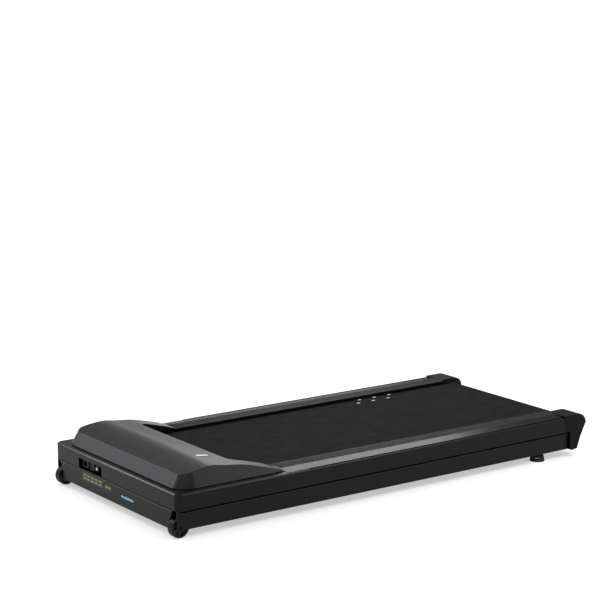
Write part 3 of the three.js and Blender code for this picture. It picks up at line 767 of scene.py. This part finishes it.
@dataclass
class MotorHood:
    """The sloped hood over the motor, with a tail that runs down each rail.

    Slopes are sideways travel for each unit of height.
    """

    works: Workshop
    wall: float = 0.0045
    corner: float = 0.057
    fillet: float = 0.030
    front_slope: float = 0.60
    side_slope: float = 0.40
    rear_slope: float = 0.15
    skirt: float = 0.002
    skirt_wall: float = 0.006
    reveal: float = 0.0025
    crease: float = 0.006
    stations: int = 40
    walkway_start: float = -0.5425
    light_place: tuple[float, float] = (0.194, -0.603)
    light_size: tuple[float, float] = (0.021, 0.05)

    def __post_init__(self) -> None:
        """Reads the hood's box and crown line from the frame."""
        self.low, self.high = self.works.box("motor_hood")
        self.base = self.low.z + self.skirt
        cover_low, _ = self.works.box("rail_cover_right")
        self.walkway_x = cover_low.x - 0.002
        self.crown_line = self._read_crown()

    def _read_crown(self) -> list[tuple[float, float]]:
        """The roof's (y, z) line over a tail, read off the node from above."""
        node = self.works.frame["nodes"]["motor_hood"]
        above = self.high.z + 1.0
        x = (self.walkway_x + self.high.x) / 2
        line = []
        for step in range(self.stations + 1):
            y = self.low.y + (self.high.y - self.low.y) * (step + 0.02) / (self.stations + 0.04)
            found, place, normal, _ = node.ray_cast(Vector((x, y, above)), Vector((0, 0, -1)))
            if found and abs(normal.y) < 0.62:
                line.append((place.y, place.z))
        return line

    def crown(self, y: float) -> float:
        """The roof's height at y, carried on in a straight line past its ends."""
        line = self.crown_line
        index = next((i for i in range(1, len(line) - 1) if line[i][0] > y), len(line) - 1)
        (y0, z0), (y1, z1) = line[index - 1], line[index]
        return max(z0 + (z1 - z0) * (y - y0) / (y1 - y0), self.base + 0.0004)

    def _lean(self, piece: bpy.types.Object, inset: float, base: float) -> None:
        """Sets the roof on the crown line and leans the walls in, in the form's mesh."""
        half = self.high.x - inset
        front = self.low.y + inset
        corner = self.corner - inset
        for vertex in piece.data.vertices:
            x, y, z = vertex.co
            if z < base + 0.01:
                continue
            past_side = math.copysign(max(abs(x) - (half - corner), 0.0), x)
            flat = Vector((past_side, min(y - front - corner, 0.0)))
            if abs(x) < half - corner:
                flat.x = 0.0
            if y > front + corner:
                flat = Vector((x, 0.0))
            outward = flat.normalized()
            place = Vector((x, y))
            height = 0.0
            for _ in range(3):
                height = self.crown(place.y) - inset - base
                place = Vector((x - outward.x * self.side_slope * height,
                                y - outward.y * self.front_slope * height))
            vertex.co = (place.x, place.y, base + height)

    @staticmethod
    def _upright(front: float, tall: float = 0.01) -> Test:
        """A test for the upright edges on a block's front.

        Args:
            front: the front's place in Y.
            tall: the least height of such an edge.

        Returns:
            The test, which takes an edge.
        """
        def test(edge: bmesh.types.BMEdge) -> bool:
            first, second = (vertex.co for vertex in edge.verts)
            return abs(first.z - second.z) > tall and max(first.y, second.y) < front + 1e-4

        return test

    def _form(self, name: str, inset: float) -> bpy.types.Object:
        """The hood's outer form, or the hollow inside it, as a solid.

        Args:
            name: the form's name.
            inset: how far inside the hood's surface it lies.

        Returns:
            The solid, before its inner edges are rounded.
        """
        bench = self.works.bench
        base = self.base - (0.012 if inset else 0.0)
        form = bench.block(name, (-self.high.x + inset, self.low.y + inset, base),
                           (self.high.x - inset, self.high.y, self.high.z + 0.02))
        front = self.low.y + inset
        bench.bevel_edges(form, self._upright(front), self.corner - inset, 12)
        span = self.high.y - front
        for step in range(1, self.stations):
            bench.slice(form, (0, front + span * step / self.stations, 0), (0, 1, 0))
        self._lean(form, inset, base)
        return bench.outward(form)

    def _walkway(self, inset: float) -> bpy.types.Object:
        """The space over the belt behind the hood, as a cutter."""
        bench = self.works.bench
        front = self.walkway_start - inset
        cutter = bench.block("walkway_cutter", (-self.walkway_x - inset, front, self.base - 0.04),
                             (self.walkway_x + inset, self.high.y + 0.05, self.high.z + 0.01))
        bench.bevel_edges(cutter, self._upright(front), self.fillet + inset, 10)
        for vertex in cutter.data.vertices:
            if vertex.co.z > self.high.z and vertex.co.y < self.high.y:
                vertex.co.y -= self.rear_slope * (self.high.z - self.base)
        return cutter

    def _is_crease(self, edge: bmesh.types.BMEdge) -> bool:
        """True on the sharp edges round the roof, away from the thin tips."""
        if len(edge.link_faces) != 2 or edge.calc_face_angle(0.0) < math.radians(28):
            return False
        tip = self.high.y - 0.03
        return all(vertex.co.z > self.base + 0.008 and vertex.co.y < tip for vertex in edge.verts)

    def build(self) -> None:
        """Builds the hood and its recessed skirt, whose near-black colour is partly dark plastic and partly
        painted shade in the reveal under the hood.
        """
        bench = self.works.bench
        self._status_light()
        hood = self._form("motor_hood_shell", 0.0)
        bench.cut(hood, self._walkway(0.0))
        bench.bevel_edges(hood, self._is_crease, self.crease, 5)
        hollow = self._form("hood_hollow", self.wall)
        bench.cut(hollow, self._walkway(self.wall))
        bench.cut(hood, hollow)
        bench.shade(hood, 32)
        self.works.fit(hood, Look.HOOD, "chassis", ["motor_hood"])
        # The skirt in the reveal is near-black: partly its own dark plastic, partly painted shade where the
        # hood's edge shadows the gap.
        skirt = bench.block("hood_reveal_shade", (-self.high.x + self.reveal, self.low.y + self.reveal, self.low.z),
                            (self.high.x - self.reveal, self.high.y - self.reveal, self.base + 0.001))
        skirt_edges = self._upright(self.low.y + self.reveal, 0.001)
        bench.bevel_edges(skirt, skirt_edges, self.corner - self.reveal, 12)
        wall = self.skirt_wall
        room = bench.block("skirt_room", (-self.high.x + wall, self.low.y + wall, 0),
                           (self.high.x - wall, self.walkway_start - 0.004, 1))
        bench.bevel_edges(room, self._upright(self.low.y + wall), self.corner - wall, 12)
        bench.cut(skirt, self._walkway(0.0), room)
        bench.shade(skirt, 32)
        self.works.fit(skirt, Look.BLACK_AND_SHADE, "chassis")

    def _status_light(self) -> None:
        """A small pale lens in a blue surround, set in the roof and sloped with it."""
        x, y = self.light_place
        rise = math.atan2(self.crown(y + 0.01) - self.crown(y - 0.01), 0.02)
        parts = (("surround", 0.0, 0.0006, Look.LENS_BLUE), ("lens", 0.0045, 0.0011, Look.WHITE))
        for name, inset, proud, look in parts:
            bench = self.works.bench
            half_x, half_y = (size / 2 - inset for size in self.light_size)
            plate = bench.block(f"status_{name}", (-half_x, -half_y, -0.002), (half_x, half_y, proud))
            bench.bevel_edges(plate, lambda edge: abs(edge.verts[0].co.z - edge.verts[1].co.z) > 0.001,
                              half_x * 0.96, 8)
            plate.rotation_euler = (rise, 0.0, 0.0)
            plate.location = (x, y, self.crown(y))
            bench.settle(plate, plate.name)
            bench.shade(plate)
            self.works.fit(plate, look, "chassis")


@dataclass
class Covers:
    """The plastic rim, side rails, foot strips and end caps."""

    works: Workshop
    edge: float = 0.0012
    cap_edge: float = 0.003
    groove_shade_inset: tuple[float, float] = (0.0055, 0.0082)
    groove_shade_drop: tuple[float, float] = (0.0063, 0.0034)
    rib_count: int = 8
    rib_radius: float = 0.0011

    def build(self) -> None:
        """Builds all the covers."""
        self.works.refine("front_apron", Look.RAIL, self.edge)
        for side, _ in SIDES:
            self.works.refine(f"rail_cover_{side}", Look.RAIL, self.edge)
            self.works.refine(f"end_cap_{side}", Look.SHELL, self.cap_edge, 4)
            self._strip(side)
            self._groove_shade(side)

    def _groove_shade(self, side: str) -> None:
        """A near-black strip in the groove between a side rail's bevel and its sloped band: painted shade
        where the groove lies in shadow.
        """
        low, high = self.works.box(f"rail_cover_{side}")
        outer, inner = self.groove_shade_inset
        x0, x1 = (high.x - inner, high.x - outer) if side == "right" else (low.x + outer, low.x + inner)
        bottom, top = (high.z - drop for drop in self.groove_shade_drop)
        # Painted shade: a near-black block fills the groove so that it reads as shadowed.
        groove_shade = self.works.bench.block(f"rail_groove_shade_{side}", (x0, low.y, bottom), (x1, high.y, top))
        self.works.fit(groove_shade, Look.BLACK_AND_SHADE, "chassis")

    def _strip(self, side: str) -> None:
        """One foot strip: a thin band with raised round ribs along it."""
        bench = self.works.bench
        node = f"foot_strip_{side}"
        low, high = self.works.box(node)
        band = bench.block(f"{node}_band", low, (high.x, high.y, high.z - 0.0004))
        pitch = (high.x - low.x) / self.rib_count
        height = high.z - 0.0006
        ribs = []
        for index in range(self.rib_count):
            x = low.x + pitch * (index + 0.5)
            ribs.append(bench.rod(f"rib_{index}", (x, low.y + 0.002, height), (x, high.y - 0.002, height),
                                  self.rib_radius, 12))
        bench.round_off(band, 0.0004, 2)
        for rib in ribs:
            bench.shade(rib, 40)
        strip = bench.join(f"{node}_ribbed", [band, *ribs])
        self.works.fit(strip, Look.STRIP, "chassis", [node])


@dataclass
class WalkingBelt:
    """The belt loop and the plain marks printed on it."""

    works: Workshop
    edge: float = 0.0007
    turns: int = 96
    marks: tuple[tuple[float, float], ...] = ((-0.25, 0.325), (-0.25, 0.389), (-0.25, 0.453))
    mark_size: tuple[float, float] = (0.0065, 0.014)
    mark_gap: tuple[float, float] = (0.034, -0.03)

    def build(self) -> None:
        """Builds the loop, then its marks."""
        works = self.works
        bench = works.bench
        low, high = works.box("walking_belt")
        radius = (high.z - low.z) / 2
        height = low.z + radius
        rear, front = high.y - radius, low.y + radius
        loop = bench.rod("belt_loop", (low.x, rear, height), (high.x, rear, height), radius, self.turns)
        bench.pick(loop, "VERT", lambda vertex: vertex.co.y < rear - 1e-5)
        bpy.ops.transform.translate(value=(0, front - rear, 0))
        bench.pick(loop, "FACE", lambda face: abs(face.normal.x) > 0.9)
        bpy.ops.mesh.delete(type="FACE")
        bench.clear()
        thickness = high.z - works.box("deck_board")[1].z - 0.0003
        bench.modify(loop, "SOLIDIFY", thickness=thickness, offset=-1.0)
        bench.outward(loop)
        bench.round_off(loop, self.edge, 2, 40)
        works.fit(loop, Look.BELT, "chassis", ["walking_belt"])
        inner = radius - thickness / 2
        works.shop.paint_part(loop, Look.BELT_UNDER, lambda centre, normal: self._is_inside(
            centre, (front, rear, height), inner))
        for number, (x, y) in enumerate(self.marks, 1):
            for part, (across, along) in (("a", (0.0, 0.0)), ("b", self.mark_gap)):
                self._mark(f"belt_mark_{number}{part}", x + across, y + along, high.z)

    @staticmethod
    def _is_inside(centre: Vector, line: tuple[float, float, float], reach: float) -> bool:
        """True where a face lies on the loop's inner side."""
        front, rear, height = line
        nearest = Vector((centre.x, min(max(centre.y, front), rear), height))
        return (centre - nearest).length < reach

    def _mark(self, name: str, x: float, y: float, top: float) -> None:
        """One small printed dash with rounded ends."""
        bench = self.works.bench
        width, length = self.mark_size
        mark = bench.block(name, (x - width / 2, y - length / 2, top - 0.0001),
                           (x + width / 2, y + length / 2, top + 0.0002))
        bench.bevel_edges(mark, lambda edge: abs(edge.verts[0].co.z - edge.verts[1].co.z) > 1e-4,
                          width * 0.45, 5)
        bench.shade(mark)
        self.works.fit(mark, Look.PRINT_WHITE, "chassis")


@dataclass
class RunningGear:
    """Deck, cushions, rollers, axles and the rear roller's brackets."""

    works: Workshop
    chamfer: float = 0.0015
    washer: float = 0.002
    waist: float = 0.82
    bolt_head: float = 0.008
    bolt_radius: float = 0.004
    socket_depth: float = 0.0045
    socket_radius: float = 0.0038

    def build(self) -> None:
        """Builds all the running gear."""
        works = self.works
        works.refine("deck_board", Look.DECK, 0.001, 2)
        for side, _ in SIDES:
            for row in (1, 2, 3):
                self._cushion(f"deck_cushion_{side}_{row}")
            works.refine(f"rear_bracket_{side}", Look.PAINT, 0.0008, 2)
            self._tension_bolt(side)
        for node in ("front_roller", "rear_roller"):
            works.refine(node, Look.TURNED_STEEL, self.chamfer)
        for node in ("front_axle", "rear_axle"):
            works.refine(node, Look.STEEL, 0.001, 2)
        works.refine("drive_pulley", Look.IRON, 0.001)

    def _cushion(self, node: str) -> None:
        """A waisted rubber mount with a steel washer under the deck."""
        works, bench = self.works, self.works.bench
        low, high = works.box(node)
        x, y = (low.x + high.x) / 2, (low.y + high.y) / 2
        radius = (high.x - low.x) / 2
        top = high.z - self.washer
        middle = (low.z + high.z) / 2
        mount = bench.rod(f"{node}_rubber", (x, y, low.z), (x, y, top), radius, 40)
        bench.slice(mount, (0, 0, middle), (0, 0, 1))

        def at_waist(vertex: bmesh.types.BMVert) -> bool:
            return abs(vertex.co.z - middle) < 1e-4

        bench.pick(mount, "VERT", at_waist)
        bpy.ops.transform.resize(value=(self.waist, self.waist, 1.0), center_override=(x, y, middle))
        bench.clear()
        bench.round_off(mount, 0.002, 3, 20)
        works.fit(mount, Look.RUBBER, "chassis", [node])
        washer = bench.rod(f"{node}_washer", (x, y, top), (x, y, high.z), radius * 0.9, 32)
        bench.round_off(washer, 0.0004, 2)
        works.fit(washer, Look.STEEL, "chassis")

    def _tension_bolt(self, side: str) -> None:
        """A socket-head bolt: a round head with a hexagon socket, and a threaded shank."""
        works, bench = self.works, self.works.bench
        node = f"tension_bolt_{side}"
        low, high = works.box(node)
        x, z = (low.x + high.x) / 2, (low.z + high.z) / 2
        under_head = high.y - self.bolt_head
        head = bench.rod(f"{node}_head", (x, under_head, z), (x, high.y, z), (high.x - low.x) / 2, 40)
        socket = bench.rod("socket", (x, high.y - self.socket_depth, z), (x, high.y + 0.01, z),
                           self.socket_radius, 6)
        bench.cut(head, socket)
        bench.round_off(head, 0.0006, 2)
        works.fit(head, Look.STEEL, "chassis", [node])
        shank = bench.rod(f"{node}_shank", (x, low.y, z), (x, under_head, z), self.bolt_radius, 32)
        bench.round_off(shank, 0.0005, 2)
        works.fit(shank, Look.THREADED, "chassis")


@dataclass
class SteelFrame:
    """Side channels, crossmembers, front panel and pan, with the plain badges on the panel."""

    works: Workshop
    fold: float = 0.0022
    shade_strip_height: tuple[float, float] = (0.0088, 0.0034)
    shade_strip_start: float = 0.012
    lip_radius: float = 0.0012
    bar_start: tuple[float, float] = (-0.183, 0.07)
    bar_run: tuple[float, float] = (0.017, 0.0235)
    bar_drop: float = 0.0105
    bar_half: float = 0.0016

    def build(self) -> None:
        """Builds the frame's parts."""
        works = self.works
        for side, _ in SIDES:
            works.refine(f"side_frame_{side}", Look.PAINT, self.fold, 3, 60)
            works.refine(f"foot_nut_{side}", Look.STEEL, 0.0005, 2)
        for node in ("front_crossmember", "middle_crossmember", "rear_crossmember"):
            works.refine(node, Look.PAINT, 0.0015, 2)
        works.refine("front_panel", Look.PAINT, 0.0009, 2)
        works.refine("motor_pan", Look.PAINT, 0.0006, 2)
        self._seam_shade()
        self._badges()

    def _seam_shade(self) -> None:
        """Painted shade and a painted highlight in the seam between steel and covers, on both sides and in
        front: a near-black strip stands for the shadow under the covers' overhang, and the folded lip below
        it has a lighter copy of the frame paint.
        """
        works, bench = self.works, self.works.bench
        cover_low, _ = works.box("rail_cover_right")
        panel_low, panel_high = works.box("front_panel")
        side_drop, front_drop = self.shade_strip_height
        for side, sign in SIDES:
            low, high = works.box(f"side_frame_{side}")
            face = high.x if sign > 0 else low.x
            x0, x1 = sorted((face - sign * 0.0005, face + sign * 0.0012))
            start = low.y + self.shade_strip_start
            # Painted shade: a near-black strip where the side seam lies in the covers' shadow.
            shade_strip = bench.block(f"seam_shade_strip_{side}", (x0, start, cover_low.z - side_drop),
                               (x1, high.y, cover_low.z + 0.0004))
            works.fit(shade_strip, Look.BLACK_AND_SHADE, "chassis")
            # The folded lip has a lighter copy of the frame paint: a painted highlight along the edge.
            lip = bench.rod(f"seam_lip_{side}", (face, start, cover_low.z - side_drop),
                            (face, high.y, cover_low.z - side_drop), self.lip_radius, 16)
            works.fit(bench.shade(lip), Look.EDGE, "chassis")
        # Painted shade: a near-black strip where the front seam lies in the apron's shadow.
        shade_strip = bench.block("seam_shade_strip_front", (panel_low.x, panel_low.y - 0.0003, cover_low.z - front_drop),
                           (panel_high.x, panel_low.y + 0.001, cover_low.z))
        works.fit(shade_strip, Look.BLACK_AND_SHADE, "chassis")
        lip = bench.rod("seam_lip_front", (panel_low.x, panel_low.y + 0.0003, cover_low.z - front_drop),
                        (panel_high.x, panel_low.y + 0.0003, cover_low.z - front_drop), self.lip_radius, 16)
        works.fit(bench.shade(lip), Look.EDGE, "chassis")

    def _badges(self) -> None:
        """Plain label, tick marks and badge on the front panel, with no lettering."""
        low, _ = self.works.box("front_panel")
        face = low.y
        self._plate("rating_label", (-0.187, -0.062), (0.052, 0.077), face, 0.0004, Look.LABEL, 0.002)
        print_face = face - 0.0004
        bar_length, bar_pitch = self.bar_run
        for row in range(2):
            for column in range(5):
                left = self.bar_start[0] + bar_pitch * column
                middle = self.bar_start[1] - self.bar_drop * row
                self._plate(f"label_bar_{row}{column}", (left, left + bar_length),
                            (middle - self.bar_half, middle + self.bar_half), print_face, 0.0002,
                            Look.PRINT_YELLOW, 0.0012)
        self._plate("side_label", (-0.055, -0.012), (0.054, 0.071), face, 0.0004, Look.LABEL, 0.002)
        self._plate("side_label_bar", (-0.049, -0.018), (0.0612, 0.0646), print_face, 0.0002,
                    Look.PRINT_YELLOW, 0.0012)
        self._plate("panel_badge", (0.056, 0.116), (0.0525, 0.0595), face, 0.0006, Look.PRINT_BLUE, 0.003)
        self._plate("panel_badge_dot", (0.046, 0.0525), (0.0528, 0.0592), face, 0.0006,
                    Look.PRINT_WHITE, 0.003)

    def _plate(self, name: str, x: tuple[float, float], z: tuple[float, float], face: float,
               thickness: float, look: Look, corner: float) -> None:
        """A thin plate on the front face, with round corners.

        Args:
            name: the new piece's name.
            x: its left and right ends.
            z: its lower and upper edges.
            face: the place in Y of what it lies on.
            thickness: how far it stands out.
            look: its finish.
            corner: its corners' radius.
        """
        bench = self.works.bench
        plate = bench.block(name, (x[0], face - thickness, z[0]), (x[1], face + 0.0001, z[1]))
        bench.bevel_edges(plate, lambda edge: abs(edge.verts[0].co.y - edge.verts[1].co.y) > 1e-4, corner, 4)
        bench.shade(plate)
        self.works.fit(plate, look, "chassis")


@dataclass
class PortPanel:
    """Inlet, switch and breaker in the rim's window."""

    works: Workshop

    def build(self) -> None:
        """Builds the port pieces."""
        works = self.works
        works.refine("port_plate", Look.BLACK_AND_SHADE, 0.0004, 2)
        works.refine("power_inlet", Look.NYLON, 0.0008, 2)
        works.refine("switch_bezel", Look.NYLON, 0.0008, 2)
        works.refine("switch_rocker", Look.NYLON, 0.0006, 3)
        works.refine("breaker_body", Look.NYLON, 0.0008, 2)
        works.refine("breaker_button", Look.WHITE, 0.0008, 3)
        for name in ("lower", "upper"):
            works.refine(f"port_screw_{name}", Look.WHITE, 0.0008, 3)


@dataclass
class TransportWheel:
    """One front wheel: a moulded hub with pockets, and a grooved tread."""

    works: Workshop
    spokes: int = 6
    bore_share: float = 0.78
    shoulder: float = 0.0018
    groove: float = 0.0009
    groove_places: tuple[float, ...] = (0.32, 0.5, 0.68)
    disc_inset: float = 0.18
    hub_share: float = 0.36
    pocket_ring: float = 0.55
    pocket_share: float = 0.14
    pocket_depth: float = 0.4
    axle_bore: float = 0.0043
    head: tuple[float, float] = (0.004, 0.0065)
    socket: tuple[float, float] = (0.0025, 0.0029)
    shank_radius: float = 0.004
    nut: tuple[float, float] = (0.0066, 0.0078)

    def build(self) -> None:
        """Builds both wheels with their brackets and bolts."""
        for side, sign in SIDES:
            self._wheel(side, sign)
            self.works.refine(f"wheel_bracket_{side}", Look.PAINT, 0.0008, 2)
            self._bolt(side, sign)

    def _tread_outline(self, left: float, right: float, radius: float) -> list[tuple[float, float]]:
        """Section of the tread: round shoulders, and round grooves between them."""
        def arc(x: float, reach: float, size: float, start: int, end: int) -> list[tuple[float, float]]:
            step = 30 if end > start else -30
            return [(x + size * math.cos(math.radians(turn)), reach + size * math.sin(math.radians(turn)))
                    for turn in range(start, end + step, step)]

        shoulder = radius - self.shoulder
        outline = [(left, radius * self.bore_share)]
        outline += arc(left + self.shoulder, shoulder, self.shoulder, 180, 90)
        for share in self.groove_places:
            outline += arc(left + (right - left) * share, radius, self.groove, 180, 360)
        outline += arc(right - self.shoulder, shoulder, self.shoulder, 90, 0)
        return outline + [(right, radius * self.bore_share)]

    def _wheel(self, side: str, sign: int) -> None:
        """One wheel, from a tread drum, a pocketed disc and a hub."""
        works, bench = self.works, self.works.bench
        node = f"transport_wheel_{side}"
        low, high = works.box(node)
        y, z = (low.y + high.y) / 2, (low.z + high.z) / 2
        radius = (high.z - low.z) / 2
        body = f"wheel_{side}"
        outline = self._tread_outline(low.x, high.x, radius)
        tread = bench.turned(f"{node}_tread", outline, (y, z))
        works.fit(bench.shade(tread, 40), Look.TREAD, body, [node])
        width = high.x - low.x
        inset = width * self.disc_inset
        disc = bench.rod(f"{node}_disc", (low.x + inset, y, z), (high.x - inset, y, z),
                         radius * self.bore_share, 72)
        pockets = []
        for index in range(self.spokes):
            angle = 2 * math.pi * index / self.spokes
            centre_y = y + radius * self.pocket_ring * math.cos(angle)
            centre_z = z + radius * self.pocket_ring * math.sin(angle)
            outer = high.x if sign > 0 else low.x
            floor = outer - sign * width * self.pocket_depth
            pockets.append(bench.rod("pocket", (floor, centre_y, centre_z),
                                     (outer + sign * 0.01, centre_y, centre_z),
                                     radius * self.pocket_share, 24))
        hub = bench.rod(f"{node}_hub", (low.x, y, z), (high.x, y, z), radius * self.hub_share, 40)
        bench.cut(disc, *pockets)
        bench.cut(disc, hub, operation="UNION")
        axle = bench.rod("axle_bore", (low.x - 0.01, y, z), (high.x + 0.01, y, z), self.axle_bore, 32)
        bench.cut(disc, axle)
        bench.round_off(disc, 0.0007, 2)
        works.fit(disc, Look.NYLON, body)

    def _bolt(self, side: str, sign: int) -> None:
        """The wheel's bolt: a domed head with a hexagon socket, and a nut behind the bracket."""
        works, bench = self.works, self.works.bench
        node = f"wheel_bolt_{side}"
        low, high = works.box(node)
        y, z = (low.y + high.y) / 2, (low.z + high.z) / 2
        outer = high.x if sign > 0 else low.x
        inner = low.x if sign > 0 else high.x
        (head_length, head_radius), (socket_depth, socket_radius) = self.head, self.socket
        nut_length, nut_radius = self.nut
        head = bench.rod(f"{node}_head", (outer - sign * head_length, y, z), (outer, y, z), head_radius, 40)
        bench.round_off(head, 0.0016, 4, 40)
        socket = bench.rod("socket", (outer - sign * socket_depth, y, z), (outer + sign * 0.01, y, z),
                           socket_radius, 6)
        bench.cut(head, socket)
        shank = bench.rod(f"{node}_shank", (inner + sign * 0.004, y, z), (outer - sign * 0.0035, y, z),
                          self.shank_radius, 32)
        nut = bench.rod(f"{node}_nut", (inner, y, z), (inner + sign * nut_length, y, z), nut_radius, 6)
        bench.round_off(nut, 0.0006, 2)
        works.fit(head, Look.PAINT, "chassis")
        bolt = bench.join(f"{node}_set", [shank, nut])
        works.fit(bolt, Look.STEEL, "chassis", [node])


@dataclass
class RearFeet:
    """The levelling feet: a ribbed rubber foot on a threaded stem."""

    works: Workshop
    grooves: int = 3
    taper: float = 0.004
    groove_size: float = 0.0008
    sole_share: float = 0.45
    sole_depth: float = 0.0015

    def build(self) -> None:
        """Builds both feet."""
        for side, _ in SIDES:
            self._foot(side)
            self.works.refine(f"foot_stem_{side}", Look.THREADED, 0.0004, 2)

    def _foot(self, side: str) -> None:
        """One tapered rubber foot with shallow rings and a recessed sole."""
        works, bench = self.works, self.works.bench
        node = f"rear_foot_{side}"
        low, high = works.box(node)
        x, y = (low.x + high.x) / 2, (low.y + high.y) / 2
        radius = (high.x - low.x) / 2
        bench.clear()
        bpy.ops.mesh.primitive_cone_add(vertices=64, radius1=radius, radius2=radius - self.taper,
                                        depth=high.z - low.z, location=(x, y, (low.z + high.z) / 2))
        foot = bench.settle(bpy.context.object, f"{node}_rubber")
        for index in range(self.grooves):
            height = low.z + (high.z - low.z) * (0.35 + 0.18 * index)
            groove = bench.ring("groove", (x, y, height), radius - 0.0012 - 0.0007 * index, self.groove_size,
                                axis=(0, 0, 1), sides=64)
            bench.cut(foot, groove)
        sole = bench.rod("sole", (x, y, low.z - 0.01), (x, y, low.z + self.sole_depth),
                         radius * self.sole_share, 48)
        bench.cut(foot, sole)
        bench.round_off(foot, 0.0012, 3, 40)
        works.fit(foot, Look.FOOT, f"foot_{side}", [node])


@dataclass
class Drive:
    """Motor, drive belt and controller under the hood."""

    works: Workshop

    def build(self) -> None:
        """Builds the drive's parts."""
        works = self.works
        works.refine("motor_housing", Look.PAINT, 0.001, 2)
        works.refine("motor_rotor", Look.IRON, 0.001, 2)
        works.refine("motor_pulley", Look.TURNED_STEEL, 0.0006, 2)
        works.refine("motor_cradle", Look.PAINT, 0.001, 2)
        works.refine("drive_belt", Look.RUBBER, 0.0005, 2)
        works.refine("controller_case", Look.NYLON, 0.0012, 3)
        works.refine("heat_sink", Look.ALUMINIUM, 0.0004, 2)


# ------------------------------------------------------------------ studio


@dataclass(frozen=True)
class SoftBox:
    """One area light that looks at a point on the machine."""

    name: str
    place: Point
    target: Point
    size: tuple[float, float]
    power: float
    colour: Colour = (1.0, 1.0, 1.0)


@dataclass(frozen=True)
class Studio:
    """Camera, floor, surroundings and lights.

    The surroundings are bright overhead and dim near the horizon, so that the dark tops keep
    their depth while the floor stays pale.
    """

    camera_place: Point = (4.9648, -3.6532, 1.7713)
    camera_turn: float = 54.295
    camera_tilt: float = 11.304
    lens: float = 116.1
    sensor: float = 36.0
    floor_size: float = 400.0
    floor_colour: Colour = (0.6, 0.6, 0.6)
    floor_glow: float = 0.5
    horizon: float = 0.2
    zenith: float = 1.35
    sky_steps: tuple[float, float] = (0.5, 0.72)
    lights: tuple[SoftBox, ...] = (
        SoftBox("rail_box", (-1.75, 1.45, 1.35), (0.33, -0.3, 0.13), (1.2, 0.6), 10.8),
        SoftBox("horizon_box", (-3.6, 1.9, 0.75), (0.0, -0.5, 0.15), (1.8, 1.4), 3.0, (1.0, 0.99, 0.97)),
        SoftBox("tail_box", (2.75, 1.5, 1.3), (0.33, -0.45, 0.14), (1.0, 0.7), 6.5),
        SoftBox("front_left_box", (-2.35, -2.4, 1.15), (0.0, -0.74, 0.15), (1.9, 0.9), 10.0,
                (0.9, 0.94, 1.0)),
        SoftBox("corner_strip", (-1.5, -2.95, 1.7), (0.2, -0.75, 0.15), (0.3, 0.8), 9.0),
        SoftBox("bevel_strip", (-2.5, -1.5, 1.75), (0.0, -0.75, 0.13), (0.6, 0.4), 13.0),
        SoftBox("overhead_box", (1.0, 1.4, 2.6), (0.3, 0.1, 0.1), (1.6, 0.8), 20.0),
    )

    def build(self) -> None:
        """Builds the camera, the floor, the surroundings and the lights."""
        self._camera()
        self._floor()
        self._sky()
        for light in self.lights:
            self._light(light)

    def _camera(self) -> None:
        """A long lens from the front right, looking slightly down."""
        data = bpy.data.cameras.new("camera")
        data.lens = self.lens
        data.sensor_width = self.sensor
        data.clip_end = 100.0
        camera = bpy.data.objects.new("camera", data)
        camera.location = self.camera_place
        camera.rotation_euler = (math.radians(90 - self.camera_tilt), 0.0, math.radians(self.camera_turn))
        bpy.context.scene.collection.objects.link(camera)
        bpy.context.scene.camera = camera

    def _floor(self) -> None:
        """A plain pale floor."""
        bpy.ops.mesh.primitive_plane_add(size=self.floor_size, location=(0, 0, 0))
        floor = bpy.context.object
        floor.name = "studio_floor"
        material = bpy.data.materials.new("pale_floor")
        material.use_nodes = True
        shader = material.node_tree.nodes["Principled BSDF"]
        shader.inputs["Base Color"].default_value = (*self.floor_colour, 1.0)
        shader.inputs["Roughness"].default_value = 0.95
        shader.inputs["Specular IOR Level"].default_value = 0.0
        shader.inputs["Emission Color"].default_value = (1.0, 1.0, 1.0, 1.0)
        shader.inputs["Emission Strength"].default_value = self.floor_glow
        floor.data.materials.append(material)

    def _sky(self) -> None:
        """Surroundings that brighten smoothly from the horizon to overhead."""
        world = bpy.data.worlds.new("surround")
        world.use_nodes = True
        graph = ShaderGraph(world.node_tree)
        place = graph.add("ShaderNodeTexCoord").outputs["Generated"]
        height = graph.add("ShaderNodeSeparateXYZ", Vector=place).outputs["Z"]
        rise = graph.ramp(height, *self.sky_steps)
        strength = graph.math("ADD", self.horizon, graph.math("MULTIPLY", rise, self.zenith - self.horizon))
        background = graph.add("ShaderNodeBackground", Color=(0.98, 0.99, 1.0, 1.0), Strength=strength)
        output = graph.add("ShaderNodeOutputWorld")
        graph.feed(output.inputs["Surface"], background.outputs[0])
        bpy.context.scene.world = world
        bpy.context.scene.view_settings.view_transform = "Standard"

    def _light(self, box: SoftBox) -> None:
        """Adds one soft box."""
        data = bpy.data.lights.new(box.name, "AREA")
        data.shape = "RECTANGLE"
        data.size, data.size_y = box.size
        data.energy = box.power
        data.color = box.colour
        light = bpy.data.objects.new(box.name, data)
        light.location = box.place
        aim = Vector(box.target) - Vector(box.place)
        light.rotation_euler = aim.to_track_quat("-Z", "Y").to_euler()
        light.visible_camera = False
        bpy.context.scene.collection.objects.link(light)


def main() -> None:
    """Builds the machine's pieces round the frame, in order, and then the studio."""
    logging.basicConfig(level=logging.INFO, format="%(name)s: %(message)s")
    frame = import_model()
    bpy.ops.object.select_all(action="DESELECT")
    works = Workshop(frame)
    MotorHood(works).build()
    Covers(works).build()
    WalkingBelt(works).build()
    RunningGear(works).build()
    SteelFrame(works).build()
    PortPanel(works).build()
    TransportWheel(works).build()
    RearFeet(works).build()
    Drive(works).build()
    Studio().build()


if __name__ == "__main__":
    main()
